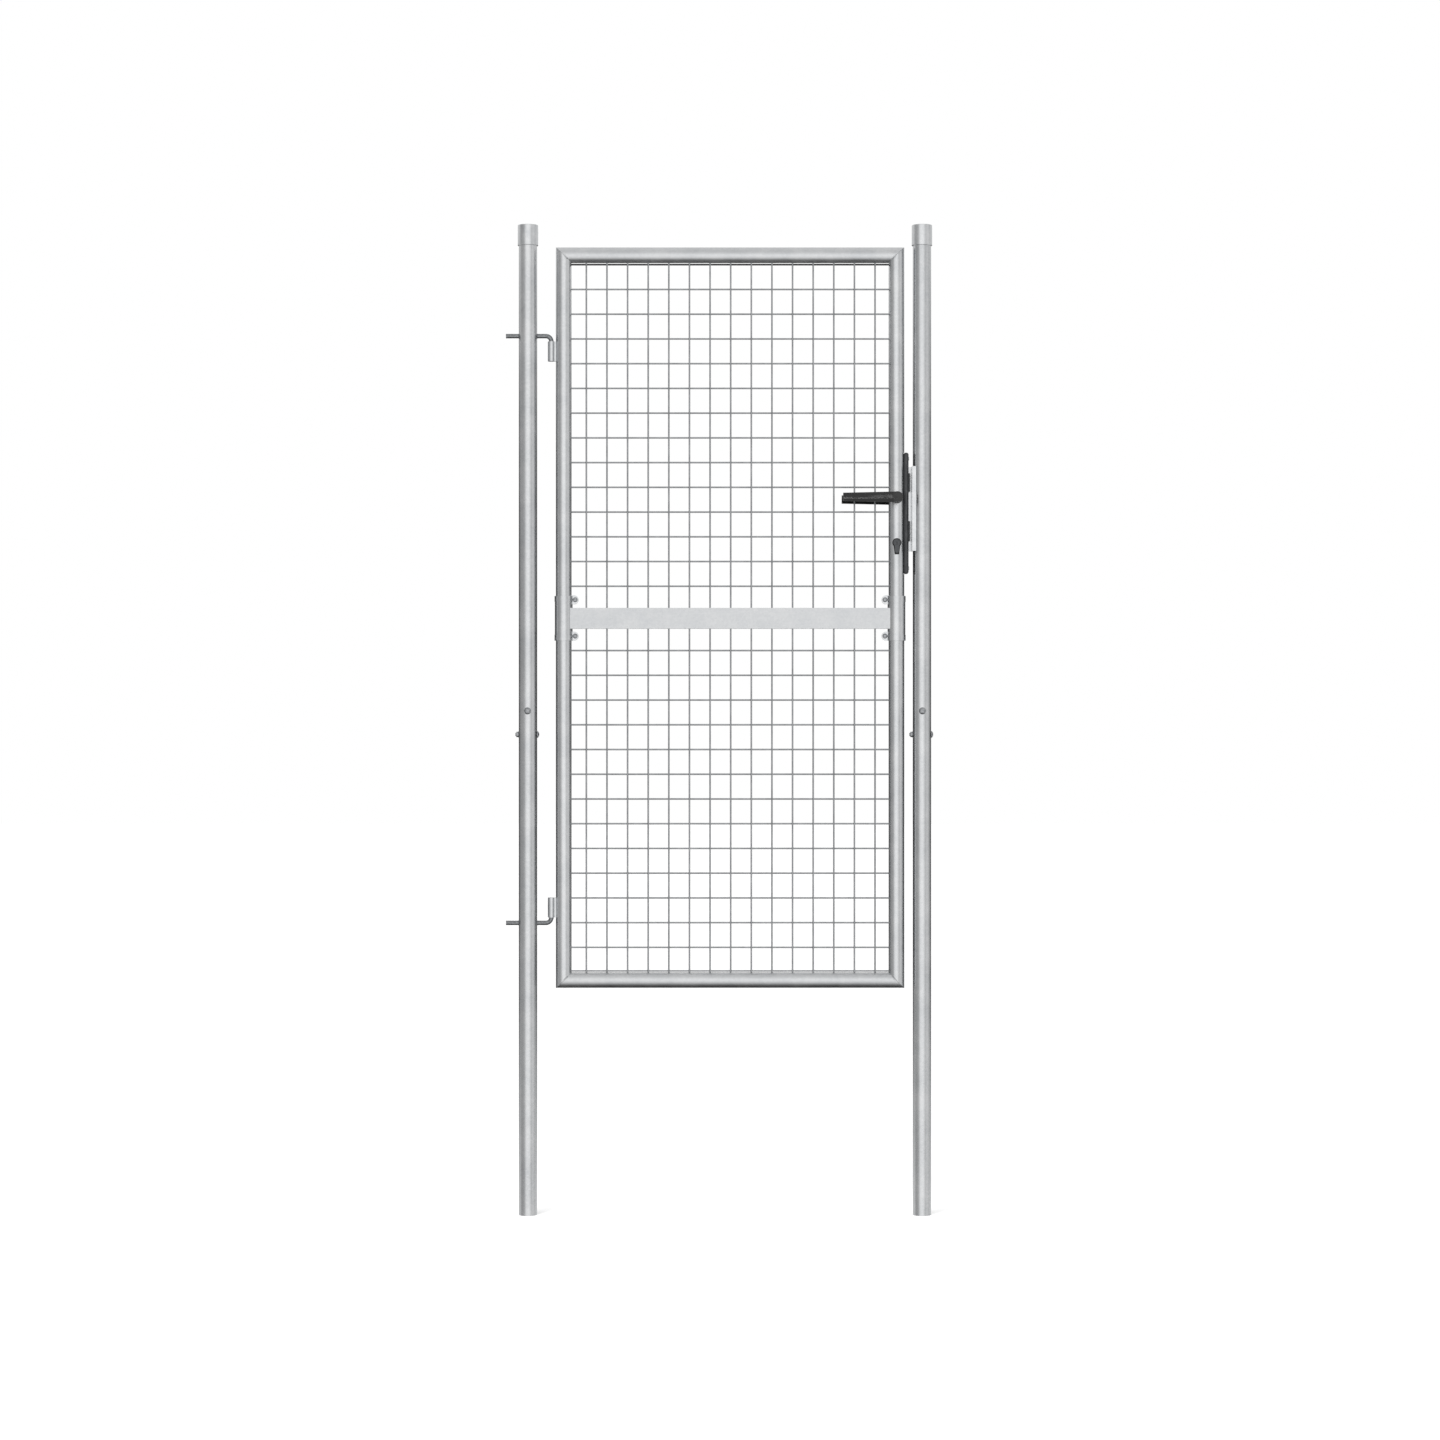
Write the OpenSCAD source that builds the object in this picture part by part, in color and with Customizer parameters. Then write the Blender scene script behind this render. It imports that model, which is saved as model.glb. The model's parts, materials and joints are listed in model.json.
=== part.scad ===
/* [Posts] */
// Height of a post over its cap
post_h = 2400; // [2100:10:2700]
// Distance between the centres of the two posts
post_spacing = 955.5; // [850:0.5:1150]
// Outside diameter of the post tube
post_d = 44.5; // [42:0.5:54]
// Wall of the post tube
post_wall = 1.5; // [1.5:0.1:2.5]
// Length of the tube inside the joint of a post
connector_len = 300; // [200:10:400]
// Wall of the tube inside the joint of a post
connector_wall = 2; // [1.5:0.1:3]
// Height of the cap on a post
cap_h = 50; // [25:1:70]
// Wall of the cap round the post
cap_wall = 2.3; // [1.5:0.1:4]
// Thickness of the top of the cap
cap_top = 3; // [2:0.5:5]
// Chamfer round the rims of the cap
cap_chamfer = 1; // [0.5:0.1:1.2]

/* [Post joint bolts] */
// Diameter of the bolts through a post joint
post_bolt_d = 8; // [6:0.5:10]
// Height of the front-to-back bolt above the joint
post_bolt_up = 22; // [15:1:60]
// Depth of the side-to-side bolt below the joint
post_bolt_down = 35; // [20:1:80]
// Diameter of the domed bolt head
dome_d = 19; // [14:0.5:22]
// Height of the domed bolt head
dome_h = 5.5; // [4:0.5:7]
// Width of the nut across its flats
nut_af = 13; // [13:0.5:17]
// Thickness of the nut
nut_h = 6.5; // [5:0.5:8]
// How far a bolt stands out of its nut
bolt_stub = 2.5; // [1:0.5:5]

/* [Leaf] */
// Gap between the hinge post and the leaf
hinge_gap = 45.4; // [42:0.1:60]
// Gap between the leaf and the lock post
lock_gap = 20.6; // [20.6:0.1:24]
// Distance from the top of a post down to the leaf's top
leaf_drop = 54; // [54:1:200]
// Height of the leaf
leaf_h = 1796; // [1500:2:1840]
// Outside diameter of the frame tube
frame_d = 38; // [36:0.5:42]
// Wall of the frame tube
frame_wall = 1.5; // [1.2:0.1:2]
// How far the middle bar lies below the leaf's mid-height
bar_drop = 1.5; // [0:0.5:10]
// Height of the middle bar
bar_h = 50; // [40:1:60]
// Depth of the middle bar from front to back
bar_t = 30; // [24:1:32]
// Wall of the middle bar
bar_wall = 1.5; // [1.2:0.1:2.5]

/* [Mesh] */
// Diameter of the mesh wires
wire_d = 4; // [3:0.2:6]
// Distance between upright wires
mesh_pitch_x = 50; // [40:1:80]
// Distance between level wires
mesh_pitch_z = 60; // [50:1:100]
// Distance from the bar's centre to the first level wire
mesh_first_z = 78; // [50:1:80]
// Gap between a rail and the edge wire of the mesh
mesh_rail_gap = 1.5; // [0.5:0.1:4]
// How far the mesh sits towards the lock side of the leaf's centre
mesh_shift_x = 1.5; // [0:0.5:4]

/* [Stile clamps] */
// Length of a clamp along its stile
clamp_len = 108; // [90:1:130]
// Wall of a clamp
clamp_wall = 2.3; // [2:0.1:3.5]
// Height of the raised ring at each end of a clamp
clamp_ring_h = 14; // [6:1:18]
// How far the ring stands out of the clamp
clamp_ring_t = 0.7; // [0.3:0.1:1.2]
// Width of the slit between the ears of a clamp
clamp_slit = 3; // [2:0.5:6]
// How far an ear stands out of the stile
ear_reach = 17; // [16:0.5:22]
// Height of an ear
ear_h = 22; // [20:0.5:26]
// Thickness of an ear
ear_t = 2.5; // [2:0.5:4]
// Distance from the end of an ear to its bolt
ear_bolt_edge = 8; // [7:0.5:8.5]
// Diameter of the bolt through the ears
ear_bolt_d = 6; // [5:0.5:8]

/* [Hinges] */
// Diameter of the hinge rods
hinge_rod_d = 11; // [10:0.5:12]
// Gap between a hinge axis and the leaf
hinge_axis_gap = 11; // [10.5:0.5:14]
// How far a hinge rod stands out behind its post
hinge_rod_tail = 31; // [15:1:50]
// Radius of the bend from a hinge rod to its pin, on the centreline
hinge_bend_r = 13; // [12:0.5:18]
// Outside diameter of a hinge sleeve
sleeve_d = 17; // [16:0.5:20]
// Length of a hinge sleeve
sleeve_len = 48; // [35:1:60]
// Distance from the leaf's top to the upper hinge rod
upper_hinge_drop = 215; // [120:5:300]
// Distance from the leaf's lower edge to the lower hinge rod
lower_hinge_rise = 158; // [100:2:300]

/* [Lock] */
// Height of the lever spindle above the leaf's lower edge
spindle_rise = 1188; // [1150:2:1220]
// Length of the lock forend
forend_h = 294; // [290:1:310]
// Width of the lock forend from front to back
forend_w = 24; // [22:0.5:26]
// How far the lock forend stands out of its stile
forend_proud = 10; // [8:0.5:11]
// How deep the lock forend is let into its stile
forend_let_in = 2; // [1.5:0.1:2.5]
// Distance from the spindle down to the middle of the forend
forend_drop = 37; // [35:0.5:39]
// Thickness of the lock case from front to back
case_t = 16; // [14:0.5:17]
// Length of the lock case
case_h = 250; // [246:1:260]
// How far the bolts stand out of the forend
bolt_throw = 4; // [2:0.5:4.5]
// Thickness of the latch bolt and the dead bolt
bolt_t = 12; // [10:0.5:12]
// Height of the latch bolt
latch_h = 44; // [30:1:46]
// Distance from the spindle up to the middle of the latch bolt
latch_rise = 38; // [36:0.5:40]
// Height of the dead bolt
dead_h = 48; // [30:1:50]
// Distance from the spindle down to the middle of the dead bolt
dead_drop = 80; // [76:0.5:80]
// Distance from the spindle down to the lock cylinder
cylinder_drop = 109; // [109:0.5:112]
// Length of the lock cylinder from front to back
cylinder_len = 48; // [46:1:60]

/* [Keeper] */
// Length of the keeper
keeper_h = 205; // [190:1:240]
// Thickness of the keeper's sheet
keeper_t = 2.5; // [2:0.1:3]
// How far the keeper's stop reaches behind the forend
keeper_overlap = 9; // [6:0.5:9.5]
// How far the keeper's front lip reaches across the post
keeper_lip = 7; // [5:0.5:8]

/* [Levers] */
// Length of a lever from its spindle to its tip
lever_len = 131; // [110:1:140]
// Diameter of a lever's hub
hub_d = 26; // [24:0.5:28]
// Height of a lever at its tip
lever_tip_h = 20; // [16:0.5:22]
// Thickness of a lever's grip from front to back
lever_t = 11; // [9:0.5:14]
// Distance from the stile's centre to the middle of a grip
lever_offset = 51; // [45:0.5:60]
// Diameter of a lever's neck
neck_d = 16; // [15:0.5:18]
// Diameter of the rose round the neck
rose_d = 28; // [26:0.5:30]
// How far a rose stands out of the stile
rose_t = 5; // [4:0.5:8]
// Width of the square spindle
spindle_w = 8; // [7:0.5:8]

/* [Clearances] */
// Radial play of a pin in its bore
pin_play = 0.05; // [0.02:0.01:0.1]
// Gap between fixed pieces that fit together
fit_gap = 0.2; // [0.1:0.05:0.3]
// Gap between a sliding bolt and its guide
slide_gap = 0.3; // [0.2:0.05:0.5]
// Gap between the closed leaf and its stop
stop_gap = 0.3; // [0.2:0.05:0.5]

/* [Hidden] */
$fn = 96;

// a cut runs this far past the face it opens
over = 1;
wire_sides = 6;
wire_fuse = 0.25;

post_r = post_d / 2;
// the two lengths of a post are equal
post_split_z = post_h / 2;
frame_r = frame_d / 2;
cap_r = post_r + fit_gap + cap_wall;
connector_d = post_d - 2 * post_wall - 2 * fit_gap;
nut_across = nut_af / cos(30);

leaf_x0 = post_r + hinge_gap;
leaf_x1 = post_spacing - post_r - lock_gap;
leaf_top = post_h - leaf_drop;
leaf_bottom = leaf_top - leaf_h;
hinge_stile_x = leaf_x0 + frame_r;
lock_stile_x = leaf_x1 - frame_r;
bar_z = leaf_bottom + leaf_h / 2 - bar_drop;
clamp_r = frame_r + fit_gap + clamp_wall;

clear_w = leaf_x1 - leaf_x0 - 2 * frame_d;
wire_columns = floor(clear_w / mesh_pitch_x);
mesh_x0 = (leaf_x0 + leaf_x1 - (wire_columns - 1) * mesh_pitch_x) / 2 + mesh_shift_x;
wire_flat = wire_d / 2 * cos(180 / wire_sides);
upright_y = wire_fuse / 2 - wire_flat;
level_y = wire_flat - wire_fuse / 2;

hinge_x = leaf_x0 - hinge_axis_gap;
upper_rod_z = leaf_top - upper_hinge_drop;
lower_rod_z = leaf_bottom + lower_hinge_rise;

spindle_z = leaf_bottom + spindle_rise;
forend_z = spindle_z - forend_drop;
forend_x0 = leaf_x1 - forend_let_in;
forend_x1 = leaf_x1 + forend_proud;
case_x0 = lock_stile_x - frame_r + frame_wall + 4;
cylinder_z = spindle_z - cylinder_drop;
latch_z = spindle_z + latch_rise;
dead_z = spindle_z - dead_drop;
bolt_tip_x = forend_x1 + bolt_throw;
hub_bore_d = 18;
cylinder_head_d = 17;
cylinder_stem_w = 10;
cylinder_stem_h = 24.5;
guide_wall = 3;
latch_guide_x = case_x0 + guide_wall;
dead_guide_x = lock_stile_x + cylinder_head_d / 2 + 2 * fit_gap;

keeper_x1 = post_spacing - post_r;
keeper_lip_x = keeper_x1 + keeper_lip;
keeper_lip_y = -sqrt(post_r * post_r - pow(post_r - keeper_lip, 2));
keeper_stop_y = forend_w / 2 + stop_gap;
keeper_z = (latch_z + dead_z) / 2 - 5;

rose_y = frame_r + rose_t;
lever_y0 = lever_offset - lever_t / 2;
lever_y1 = lever_offset + lever_t / 2;

// Lengthwise pieces

// a straight tube standing on z = 0
module tube(d, wall, len) {
    difference() {
        cylinder(d = d, h = len);
        translate([0, 0, -over]) cylinder(d = d - 2 * wall, h = len + 2 * over);
    }
}

// a cylinder along Y, from y0 to y1, round the point x, z
module rod_y(x, z, d, y0, y1) {
    translate([x, y0, z]) rotate([-90, 0, 0]) cylinder(d = d, h = y1 - y0);
}

// a cylinder along X, from x0 to x1, at height z
module rod_x(z, d, x0, x1) {
    translate([x0, 0, z]) rotate([0, 90, 0]) cylinder(d = d, h = x1 - x0);
}

// an outline in the X-Z plane given depth along Y, from y0 to y1
module slab_y(y0, y1) {
    translate([0, y1, 0]) rotate([90, 0, 0]) linear_extrude(height = y1 - y0) children();
}

// keeps what lies inside an outline of the X-Z plane
module keep_xz(outline) {
    intersection() {
        children();
        slab_y(-frame_d, frame_d) polygon(outline);
    }
}

// Posts

// the two crosswise holes of a post joint
module post_bolt_holes(x) {
    rod_y(x, post_split_z + post_bolt_up, post_bolt_d + 2 * fit_gap, -post_d, post_d);
    rod_x(post_split_z - post_bolt_down, post_bolt_d + 2 * fit_gap, x - post_d, x + post_d);
}

module hinge_rod_hole(z) {
    rod_x(z, hinge_rod_d + 2 * fit_gap, -post_d, post_d);
}

module post_lower(x) {
    difference() {
        translate([x, 0, 0]) tube(post_d, post_wall, post_split_z);
        post_bolt_holes(x);
    }
}

module post_upper(x) {
    difference() {
        translate([x, 0, post_split_z]) tube(post_d, post_wall, post_h - cap_top - post_split_z);
        post_bolt_holes(x);
    }
}

module post_connector(x) {
    difference() {
        translate([x, 0, post_split_z - connector_len / 2])
            tube(connector_d, connector_wall, connector_len);
        post_bolt_holes(x);
    }
}

// a cup that slips over the top of a post, its rims chamfered
module post_cap(x) {
    translate([x, 0, post_h - cap_h]) rotate_extrude() polygon([
        [post_r + fit_gap, 0],
        [cap_r - cap_chamfer, 0],
        [cap_r, cap_chamfer],
        [cap_r, cap_h - cap_chamfer],
        [cap_r - cap_chamfer, cap_h],
        [0, cap_h],
        [0, cap_h - cap_top],
        [post_r + fit_gap, cap_h - cap_top]
    ]);
}

// a domed head on z = 0, rising along +Z
module dome() {
    dome_r = (dome_d * dome_d / 4 + dome_h * dome_h) / (2 * dome_h);
    intersection() {
        translate([0, 0, dome_h - dome_r]) sphere(r = dome_r);
        cylinder(d = dome_d, h = dome_h + over);
    }
}

// a bolt along Z through a tube of radius r: domed head above, nut below
module cross_bolt(r) {
    translate([0, 0, r]) dome();
    translate([0, 0, -r - nut_h - bolt_stub])
        cylinder(d = post_bolt_d, h = 2 * r + nut_h + bolt_stub + over);
    translate([0, 0, -r - nut_h]) cylinder(d = nut_across, h = nut_h, $fn = 6);
}

module post_bolts(x) {
    translate([x, 0, post_split_z + post_bolt_up]) rotate([90, 0, 0]) cross_bolt(post_r);
    translate([x, 0, post_split_z - post_bolt_down]) rotate([0, 90, 0]) cross_bolt(post_r);
}

module hinge_post_lower() {
    color("silver") difference() {
        post_lower(0);
        hinge_rod_hole(lower_rod_z);
    }
}

module hinge_post_upper() {
    color("silver") difference() {
        post_upper(0);
        hinge_rod_hole(upper_rod_z);
    }
}

module hinge_post_connector() { color("darkgray") post_connector(0); }
module hinge_post_cap() { color("gainsboro") post_cap(0); }
module hinge_post_bolts() { color("gray") post_bolts(0); }
module lock_post_lower() { color("silver") post_lower(post_spacing); }
module lock_post_upper() { color("silver") post_upper(post_spacing); }
module lock_post_connector() { color("darkgray") post_connector(post_spacing); }
module lock_post_cap() { color("gainsboro") post_cap(post_spacing); }
module lock_post_bolts() { color("gray") post_bolts(post_spacing); }

// Hinges

// a rod through the post that bends into an upright pin; turn is 1 for a pin
// that points up and -1 for a pin that points down
module hinge_bolt(z, turn) {
    tail_x = -post_r - hinge_rod_tail;
    bend_x = hinge_x - hinge_bend_r;
    rod_x(z, hinge_rod_d, tail_x, bend_x);
    translate([bend_x, 0, z + turn * hinge_bend_r])
        rotate([90, 0, 0])
            rotate([0, 0, turn > 0 ? -90 : 0])
                rotate_extrude(angle = 90) translate([hinge_bend_r, 0]) circle(d = hinge_rod_d);
    pin_z = turn > 0 ? z + hinge_bend_r : z - hinge_bend_r - sleeve_len;
    translate([hinge_x, 0, pin_z]) cylinder(d = hinge_rod_d, h = sleeve_len);
}

// a sleeve round the pin, with the weld that carries it on the stile
module hinge_sleeve(z0) {
    difference() {
        union() {
            translate([hinge_x, 0, z0]) cylinder(d = sleeve_d, h = sleeve_len);
            translate([hinge_x, -sleeve_d / 4, z0])
                cube([hinge_axis_gap + frame_wall, sleeve_d / 2, sleeve_len]);
        }
        translate([hinge_x, 0, z0 - over])
            cylinder(d = hinge_rod_d + 2 * pin_play, h = sleeve_len + 2 * over);
        translate([hinge_stile_x, 0, z0 - over])
            cylinder(r = frame_r + pin_play, h = sleeve_len + 2 * over);
    }
}

module upper_hinge_bolt() { color("gray") hinge_bolt(upper_rod_z, -1); }
module lower_hinge_bolt() { color("gray") hinge_bolt(lower_rod_z, 1); }

module upper_hinge_sleeve() {
    color("silver") hinge_sleeve(upper_rod_z - hinge_bend_r - stop_gap - sleeve_len);
}

module lower_hinge_sleeve() {
    color("silver") hinge_sleeve(lower_rod_z + hinge_bend_r + stop_gap);
}

// Leaf frame

module top_rail() {
    color("silver") keep_xz([
        [leaf_x0, leaf_top], [leaf_x1, leaf_top],
        [leaf_x1 - frame_d, leaf_top - frame_d], [leaf_x0 + frame_d, leaf_top - frame_d]
    ]) translate([leaf_x0, 0, leaf_top - frame_r]) rotate([0, 90, 0])
        tube(frame_d, frame_wall, leaf_x1 - leaf_x0);
}

module bottom_rail() {
    color("silver") keep_xz([
        [leaf_x0, leaf_bottom], [leaf_x1, leaf_bottom],
        [leaf_x1 - frame_d, leaf_bottom + frame_d], [leaf_x0 + frame_d, leaf_bottom + frame_d]
    ]) translate([leaf_x0, 0, leaf_bottom + frame_r]) rotate([0, 90, 0])
        tube(frame_d, frame_wall, leaf_x1 - leaf_x0);
}

// half a stile: its outer side at x0, its inner side a tube's width along dir
module stile_upper(x0, dir) {
    keep_xz([
        [x0, bar_z], [x0, leaf_top],
        [x0 + dir * frame_d, leaf_top - frame_d], [x0 + dir * frame_d, bar_z]
    ]) translate([x0 + dir * frame_r, 0, bar_z]) tube(frame_d, frame_wall, leaf_top - bar_z);
}

module stile_lower(x0, dir) {
    keep_xz([
        [x0, bar_z], [x0, leaf_bottom],
        [x0 + dir * frame_d, leaf_bottom + frame_d], [x0 + dir * frame_d, bar_z]
    ]) translate([x0 + dir * frame_r, 0, leaf_bottom])
        tube(frame_d, frame_wall, bar_z - leaf_bottom);
}

// the slot, spindle hole and keyhole that take the lock
module lock_cutouts() {
    translate([forend_x0 - fit_gap, -forend_w / 2 - fit_gap, forend_z - forend_h / 2 - fit_gap])
        cube([frame_d, forend_w + 2 * fit_gap, forend_h + 2 * fit_gap]);
    translate([lock_stile_x, -case_t / 2 - fit_gap, forend_z - case_h / 2 - fit_gap])
        cube([frame_d, case_t + 2 * fit_gap, case_h + 2 * fit_gap]);
    rod_y(lock_stile_x, spindle_z, neck_d - 2, -frame_d, frame_d);
    slab_y(-frame_d, frame_d) cylinder_outline(fit_gap);
}

module hinge_stile_upper() { color("silver") stile_upper(leaf_x0, 1); }
module hinge_stile_lower() { color("silver") stile_lower(leaf_x0, 1); }

module lock_stile_upper() {
    color("silver") difference() {
        stile_upper(leaf_x1, -1);
        lock_cutouts();
    }
}

module lock_stile_lower() { color("silver") stile_lower(leaf_x1, -1); }

// a box section between the two clamps, its ends cut to their curve
module middle_bar() {
    bar_len = lock_stile_x - hinge_stile_x;
    color("silver") difference() {
        translate([hinge_stile_x, -bar_t / 2, bar_z - bar_h / 2]) cube([bar_len, bar_t, bar_h]);
        translate([hinge_stile_x - over, -bar_t / 2 + bar_wall, bar_z - bar_h / 2 + bar_wall])
            cube([bar_len + 2 * over, bar_t - 2 * bar_wall, bar_h - 2 * bar_wall]);
        for (x = [hinge_stile_x, lock_stile_x])
            translate([x, 0, bar_z - bar_h]) cylinder(r = clamp_r + fit_gap, h = 2 * bar_h);
    }
}

// Mesh

module wire_z(x, z0, z1) {
    translate([x, upright_y, z0]) cylinder(d = wire_d, h = z1 - z0, $fn = wire_sides);
}

module wire_x(z) {
    x0 = leaf_x0 + frame_d;
    translate([x0, level_y, z]) rotate([0, 90, 0])
        cylinder(d = wire_d, h = leaf_x1 - frame_d - x0, $fn = wire_sides);
}

// a panel from the bar to a rail; side is 1 above the bar and -1 below it
module mesh_panel(side) {
    rail_z = side > 0 ? leaf_top - frame_d : leaf_bottom + frame_d;
    edge_z = rail_z - side * (mesh_rail_gap + wire_d / 2);
    bar_edge_z = bar_z + side * bar_h / 2;
    reach = abs(edge_z - bar_z) - mesh_pitch_z / 2;
    union() {
        for (i = [0 : wire_columns - 1])
            wire_z(mesh_x0 + i * mesh_pitch_x, min(rail_z, bar_edge_z), max(rail_z, bar_edge_z));
        for (d = [mesh_first_z : mesh_pitch_z : reach]) wire_x(bar_z + side * d);
        wire_x(edge_z);
    }
}

module upper_mesh_panel() { color("gray") mesh_panel(1); }
module lower_mesh_panel() { color("gray") mesh_panel(-1); }

// Stile clamps

// the heights of the two ears of a clamp
ear_z = [bar_z - clamp_len / 2 + ear_h / 2, bar_z + clamp_len / 2 - ear_h / 2 + 2];

// a split sleeve round the joint of a stile, its ears on the side that dir gives
module stile_clamp(x, dir) {
    z0 = bar_z - clamp_len / 2;
    ear_y = clamp_slit / 2 + ear_t;
    ear_len = frame_r + ear_reach;
    difference() {
        union() {
            translate([x, 0, z0]) cylinder(r = clamp_r, h = clamp_len);
            for (z = [z0, z0 + clamp_len - clamp_ring_h])
                translate([x, 0, z]) cylinder(r = clamp_r + clamp_ring_t, h = clamp_ring_h);
            for (z = ear_z) {
                translate([min(x, x + dir * (ear_len - ear_h / 2)), -ear_y, z - ear_h / 2])
                    cube([ear_len - ear_h / 2, 2 * ear_y, ear_h]);
                rod_y(x + dir * (ear_len - ear_h / 2), z, ear_h, -ear_y, ear_y);
            }
        }
        translate([x, 0, z0 - ear_h]) cylinder(r = frame_r + fit_gap, h = clamp_len + 2 * ear_h);
        translate([min(x, x + dir * 2 * frame_d), -clamp_slit / 2, z0 - ear_h])
            cube([2 * frame_d, clamp_slit, clamp_len + 2 * ear_h]);
        clamp_bolt_holes(x, dir);
    }
}

module clamp_bolt_holes(x, dir) {
    for (z = ear_z) rod_y(ear_bolt_x(x, dir), z, ear_bolt_d + 2 * fit_gap, -frame_d, frame_d);
}

function ear_bolt_x(x, dir) = x + dir * (frame_r + ear_reach - ear_bolt_edge);

// the two bolts through the ears: domed heads in front, nuts behind
module clamp_bolts(x, dir) {
    ear_y = clamp_slit / 2 + ear_t;
    head_d = 2 * ear_bolt_d;
    for (z = ear_z) {
        rod_y(ear_bolt_x(x, dir), z, ear_bolt_d, -ear_y - over, ear_y + ear_bolt_d);
        rod_y(ear_bolt_x(x, dir), z, head_d, -ear_y - ear_bolt_d / 2, -ear_y);
        translate([ear_bolt_x(x, dir), ear_y, z]) rotate([-90, 0, 0])
            cylinder(d = head_d, h = 0.8 * ear_bolt_d, $fn = 6);
    }
}

module hinge_stile_clamp() { color("lightgray") stile_clamp(hinge_stile_x, 1); }
module lock_stile_clamp() { color("lightgray") stile_clamp(lock_stile_x, -1); }
module hinge_clamp_bolts() { color("gray") clamp_bolts(hinge_stile_x, 1); }
module lock_clamp_bolts() { color("gray") clamp_bolts(lock_stile_x, -1); }

// Lock

// the outline of the lock cylinder in the X-Z plane, grown by a margin
module cylinder_outline(margin) {
    stem_r = cylinder_stem_w / 2 + margin;
    stem_z = cylinder_z - cylinder_stem_h + cylinder_stem_w / 2;
    translate([lock_stile_x, cylinder_z]) circle(d = cylinder_head_d + 2 * margin);
    translate([lock_stile_x, stem_z]) circle(r = stem_r);
    translate([lock_stile_x - stem_r, stem_z]) square([2 * stem_r, cylinder_z - stem_z]);
}

// the guide of a sliding bolt, from x0 out through the forend
module bolt_guide(x0, z, h) {
    translate([x0, -bolt_t / 2 - slide_gap, z - h / 2 - slide_gap])
        cube([frame_d + forend_proud, bolt_t + 2 * slide_gap, h + 2 * slide_gap]);
}

module bolt_guides() {
    bolt_guide(latch_guide_x, latch_z, latch_h);
    bolt_guide(dead_guide_x, dead_z, dead_h);
}

// where a bolt's tail lies, with room behind it to draw back
function bolt_tail(guide_x) = guide_x + bolt_throw + slide_gap;

module lock_case() {
    color("dimgray") difference() {
        translate([case_x0, -case_t / 2, forend_z - case_h / 2])
            cube([forend_x0 - case_x0, case_t, case_h]);
        bolt_guides();
        rod_y(lock_stile_x, spindle_z, hub_bore_d + 2 * pin_play, -frame_d, frame_d);
        slab_y(-frame_d, frame_d) cylinder_outline(fit_gap);
    }
}

forend_screw_d = 9;
forend_screw_z = forend_h / 2 - 14;

module lock_forend() {
    color("dimgray") difference() {
        translate([forend_x0, -forend_w / 2, forend_z - forend_h / 2])
            cube([forend_x1 - forend_x0, forend_w, forend_h]);
        bolt_guides();
    }
}

// screw heads on the face of the forend
module forend_screws() {
    color("dimgray") for (z = [forend_z - forend_screw_z, forend_z + forend_screw_z])
        translate([forend_x1, 0, z]) rotate([0, 90, 0])
            cylinder(d1 = forend_screw_d, d2 = forend_screw_d - 3, h = 1.5);
}

// a bolt whose tip is bevelled on the side that meets the keeper first
module latch_bolt() {
    tail_x = bolt_tail(latch_guide_x);
    color("dimgray") translate([0, 0, latch_z - latch_h / 2]) linear_extrude(height = latch_h)
        polygon([
            [tail_x, -bolt_t / 2], [bolt_tip_x, -bolt_t / 2], [bolt_tip_x, -bolt_t / 4],
            [forend_x1, bolt_t / 2], [tail_x, bolt_t / 2]
        ]);
}

// a square bolt with its corners cut back at the tip
module dead_bolt() {
    tail_x = bolt_tail(dead_guide_x);
    color("dimgray") slab_y(-bolt_t / 2, bolt_t / 2) polygon([
        [tail_x, dead_z - dead_h / 2], [forend_x1, dead_z - dead_h / 2],
        [bolt_tip_x, dead_z - dead_h / 2 + bolt_throw], [bolt_tip_x, dead_z + dead_h / 2 - bolt_throw],
        [forend_x1, dead_z + dead_h / 2], [tail_x, dead_z + dead_h / 2]
    ]);
}

escutcheon_d = 22;
escutcheon_stem_w = 13;
escutcheon_stem_h = 28;
escutcheon_t = 3;

// a keyhole-shaped plate that sits on the curve of the stile
module escutcheon() {
    difference() {
        slab_y(-frame_r - escutcheon_t, 0) {
            translate([lock_stile_x, cylinder_z]) circle(d = escutcheon_d);
            translate([lock_stile_x, cylinder_z - escutcheon_stem_h + escutcheon_stem_w / 2])
                circle(d = escutcheon_stem_w);
            translate([lock_stile_x - escutcheon_stem_w / 2,
                       cylinder_z - escutcheon_stem_h + escutcheon_stem_w / 2])
                square([escutcheon_stem_w, escutcheon_stem_h - escutcheon_stem_w / 2]);
        }
        translate([lock_stile_x, 0, cylinder_z - frame_d * 2])
            cylinder(r = frame_r + fit_gap, h = 4 * frame_d);
        slab_y(-frame_d, over) cylinder_outline(fit_gap);
    }
}

module front_escutcheon() { color("black") escutcheon(); }
module rear_escutcheon() { color("black") mirror([0, 1, 0]) escutcheon(); }

module lock_cylinder() {
    color("dimgray") slab_y(-cylinder_len / 2, cylinder_len / 2) cylinder_outline(0);
}

// Keeper

// folded sheet on the lock post: a front lip, a strike with two slots beside
// the forend and a stop behind it
module lock_keeper() {
    strike_x = keeper_x1 - keeper_t;
    z0 = keeper_z - keeper_h / 2;
    color("gainsboro") difference() {
        translate([0, 0, z0]) linear_extrude(height = keeper_h) {
            translate([strike_x, keeper_lip_y - keeper_t])
                square([keeper_lip_x - strike_x, keeper_t]);
            translate([strike_x, keeper_lip_y - keeper_t])
                square([keeper_t, keeper_stop_y + keeper_t - keeper_lip_y + keeper_t]);
            translate([forend_x1 - keeper_overlap, keeper_stop_y])
                square([strike_x + keeper_t - forend_x1 + keeper_overlap, keeper_t]);
        }
        keeper_slot(strike_x, latch_z, latch_h);
        keeper_slot(strike_x, dead_z, dead_h);
    }
}

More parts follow.
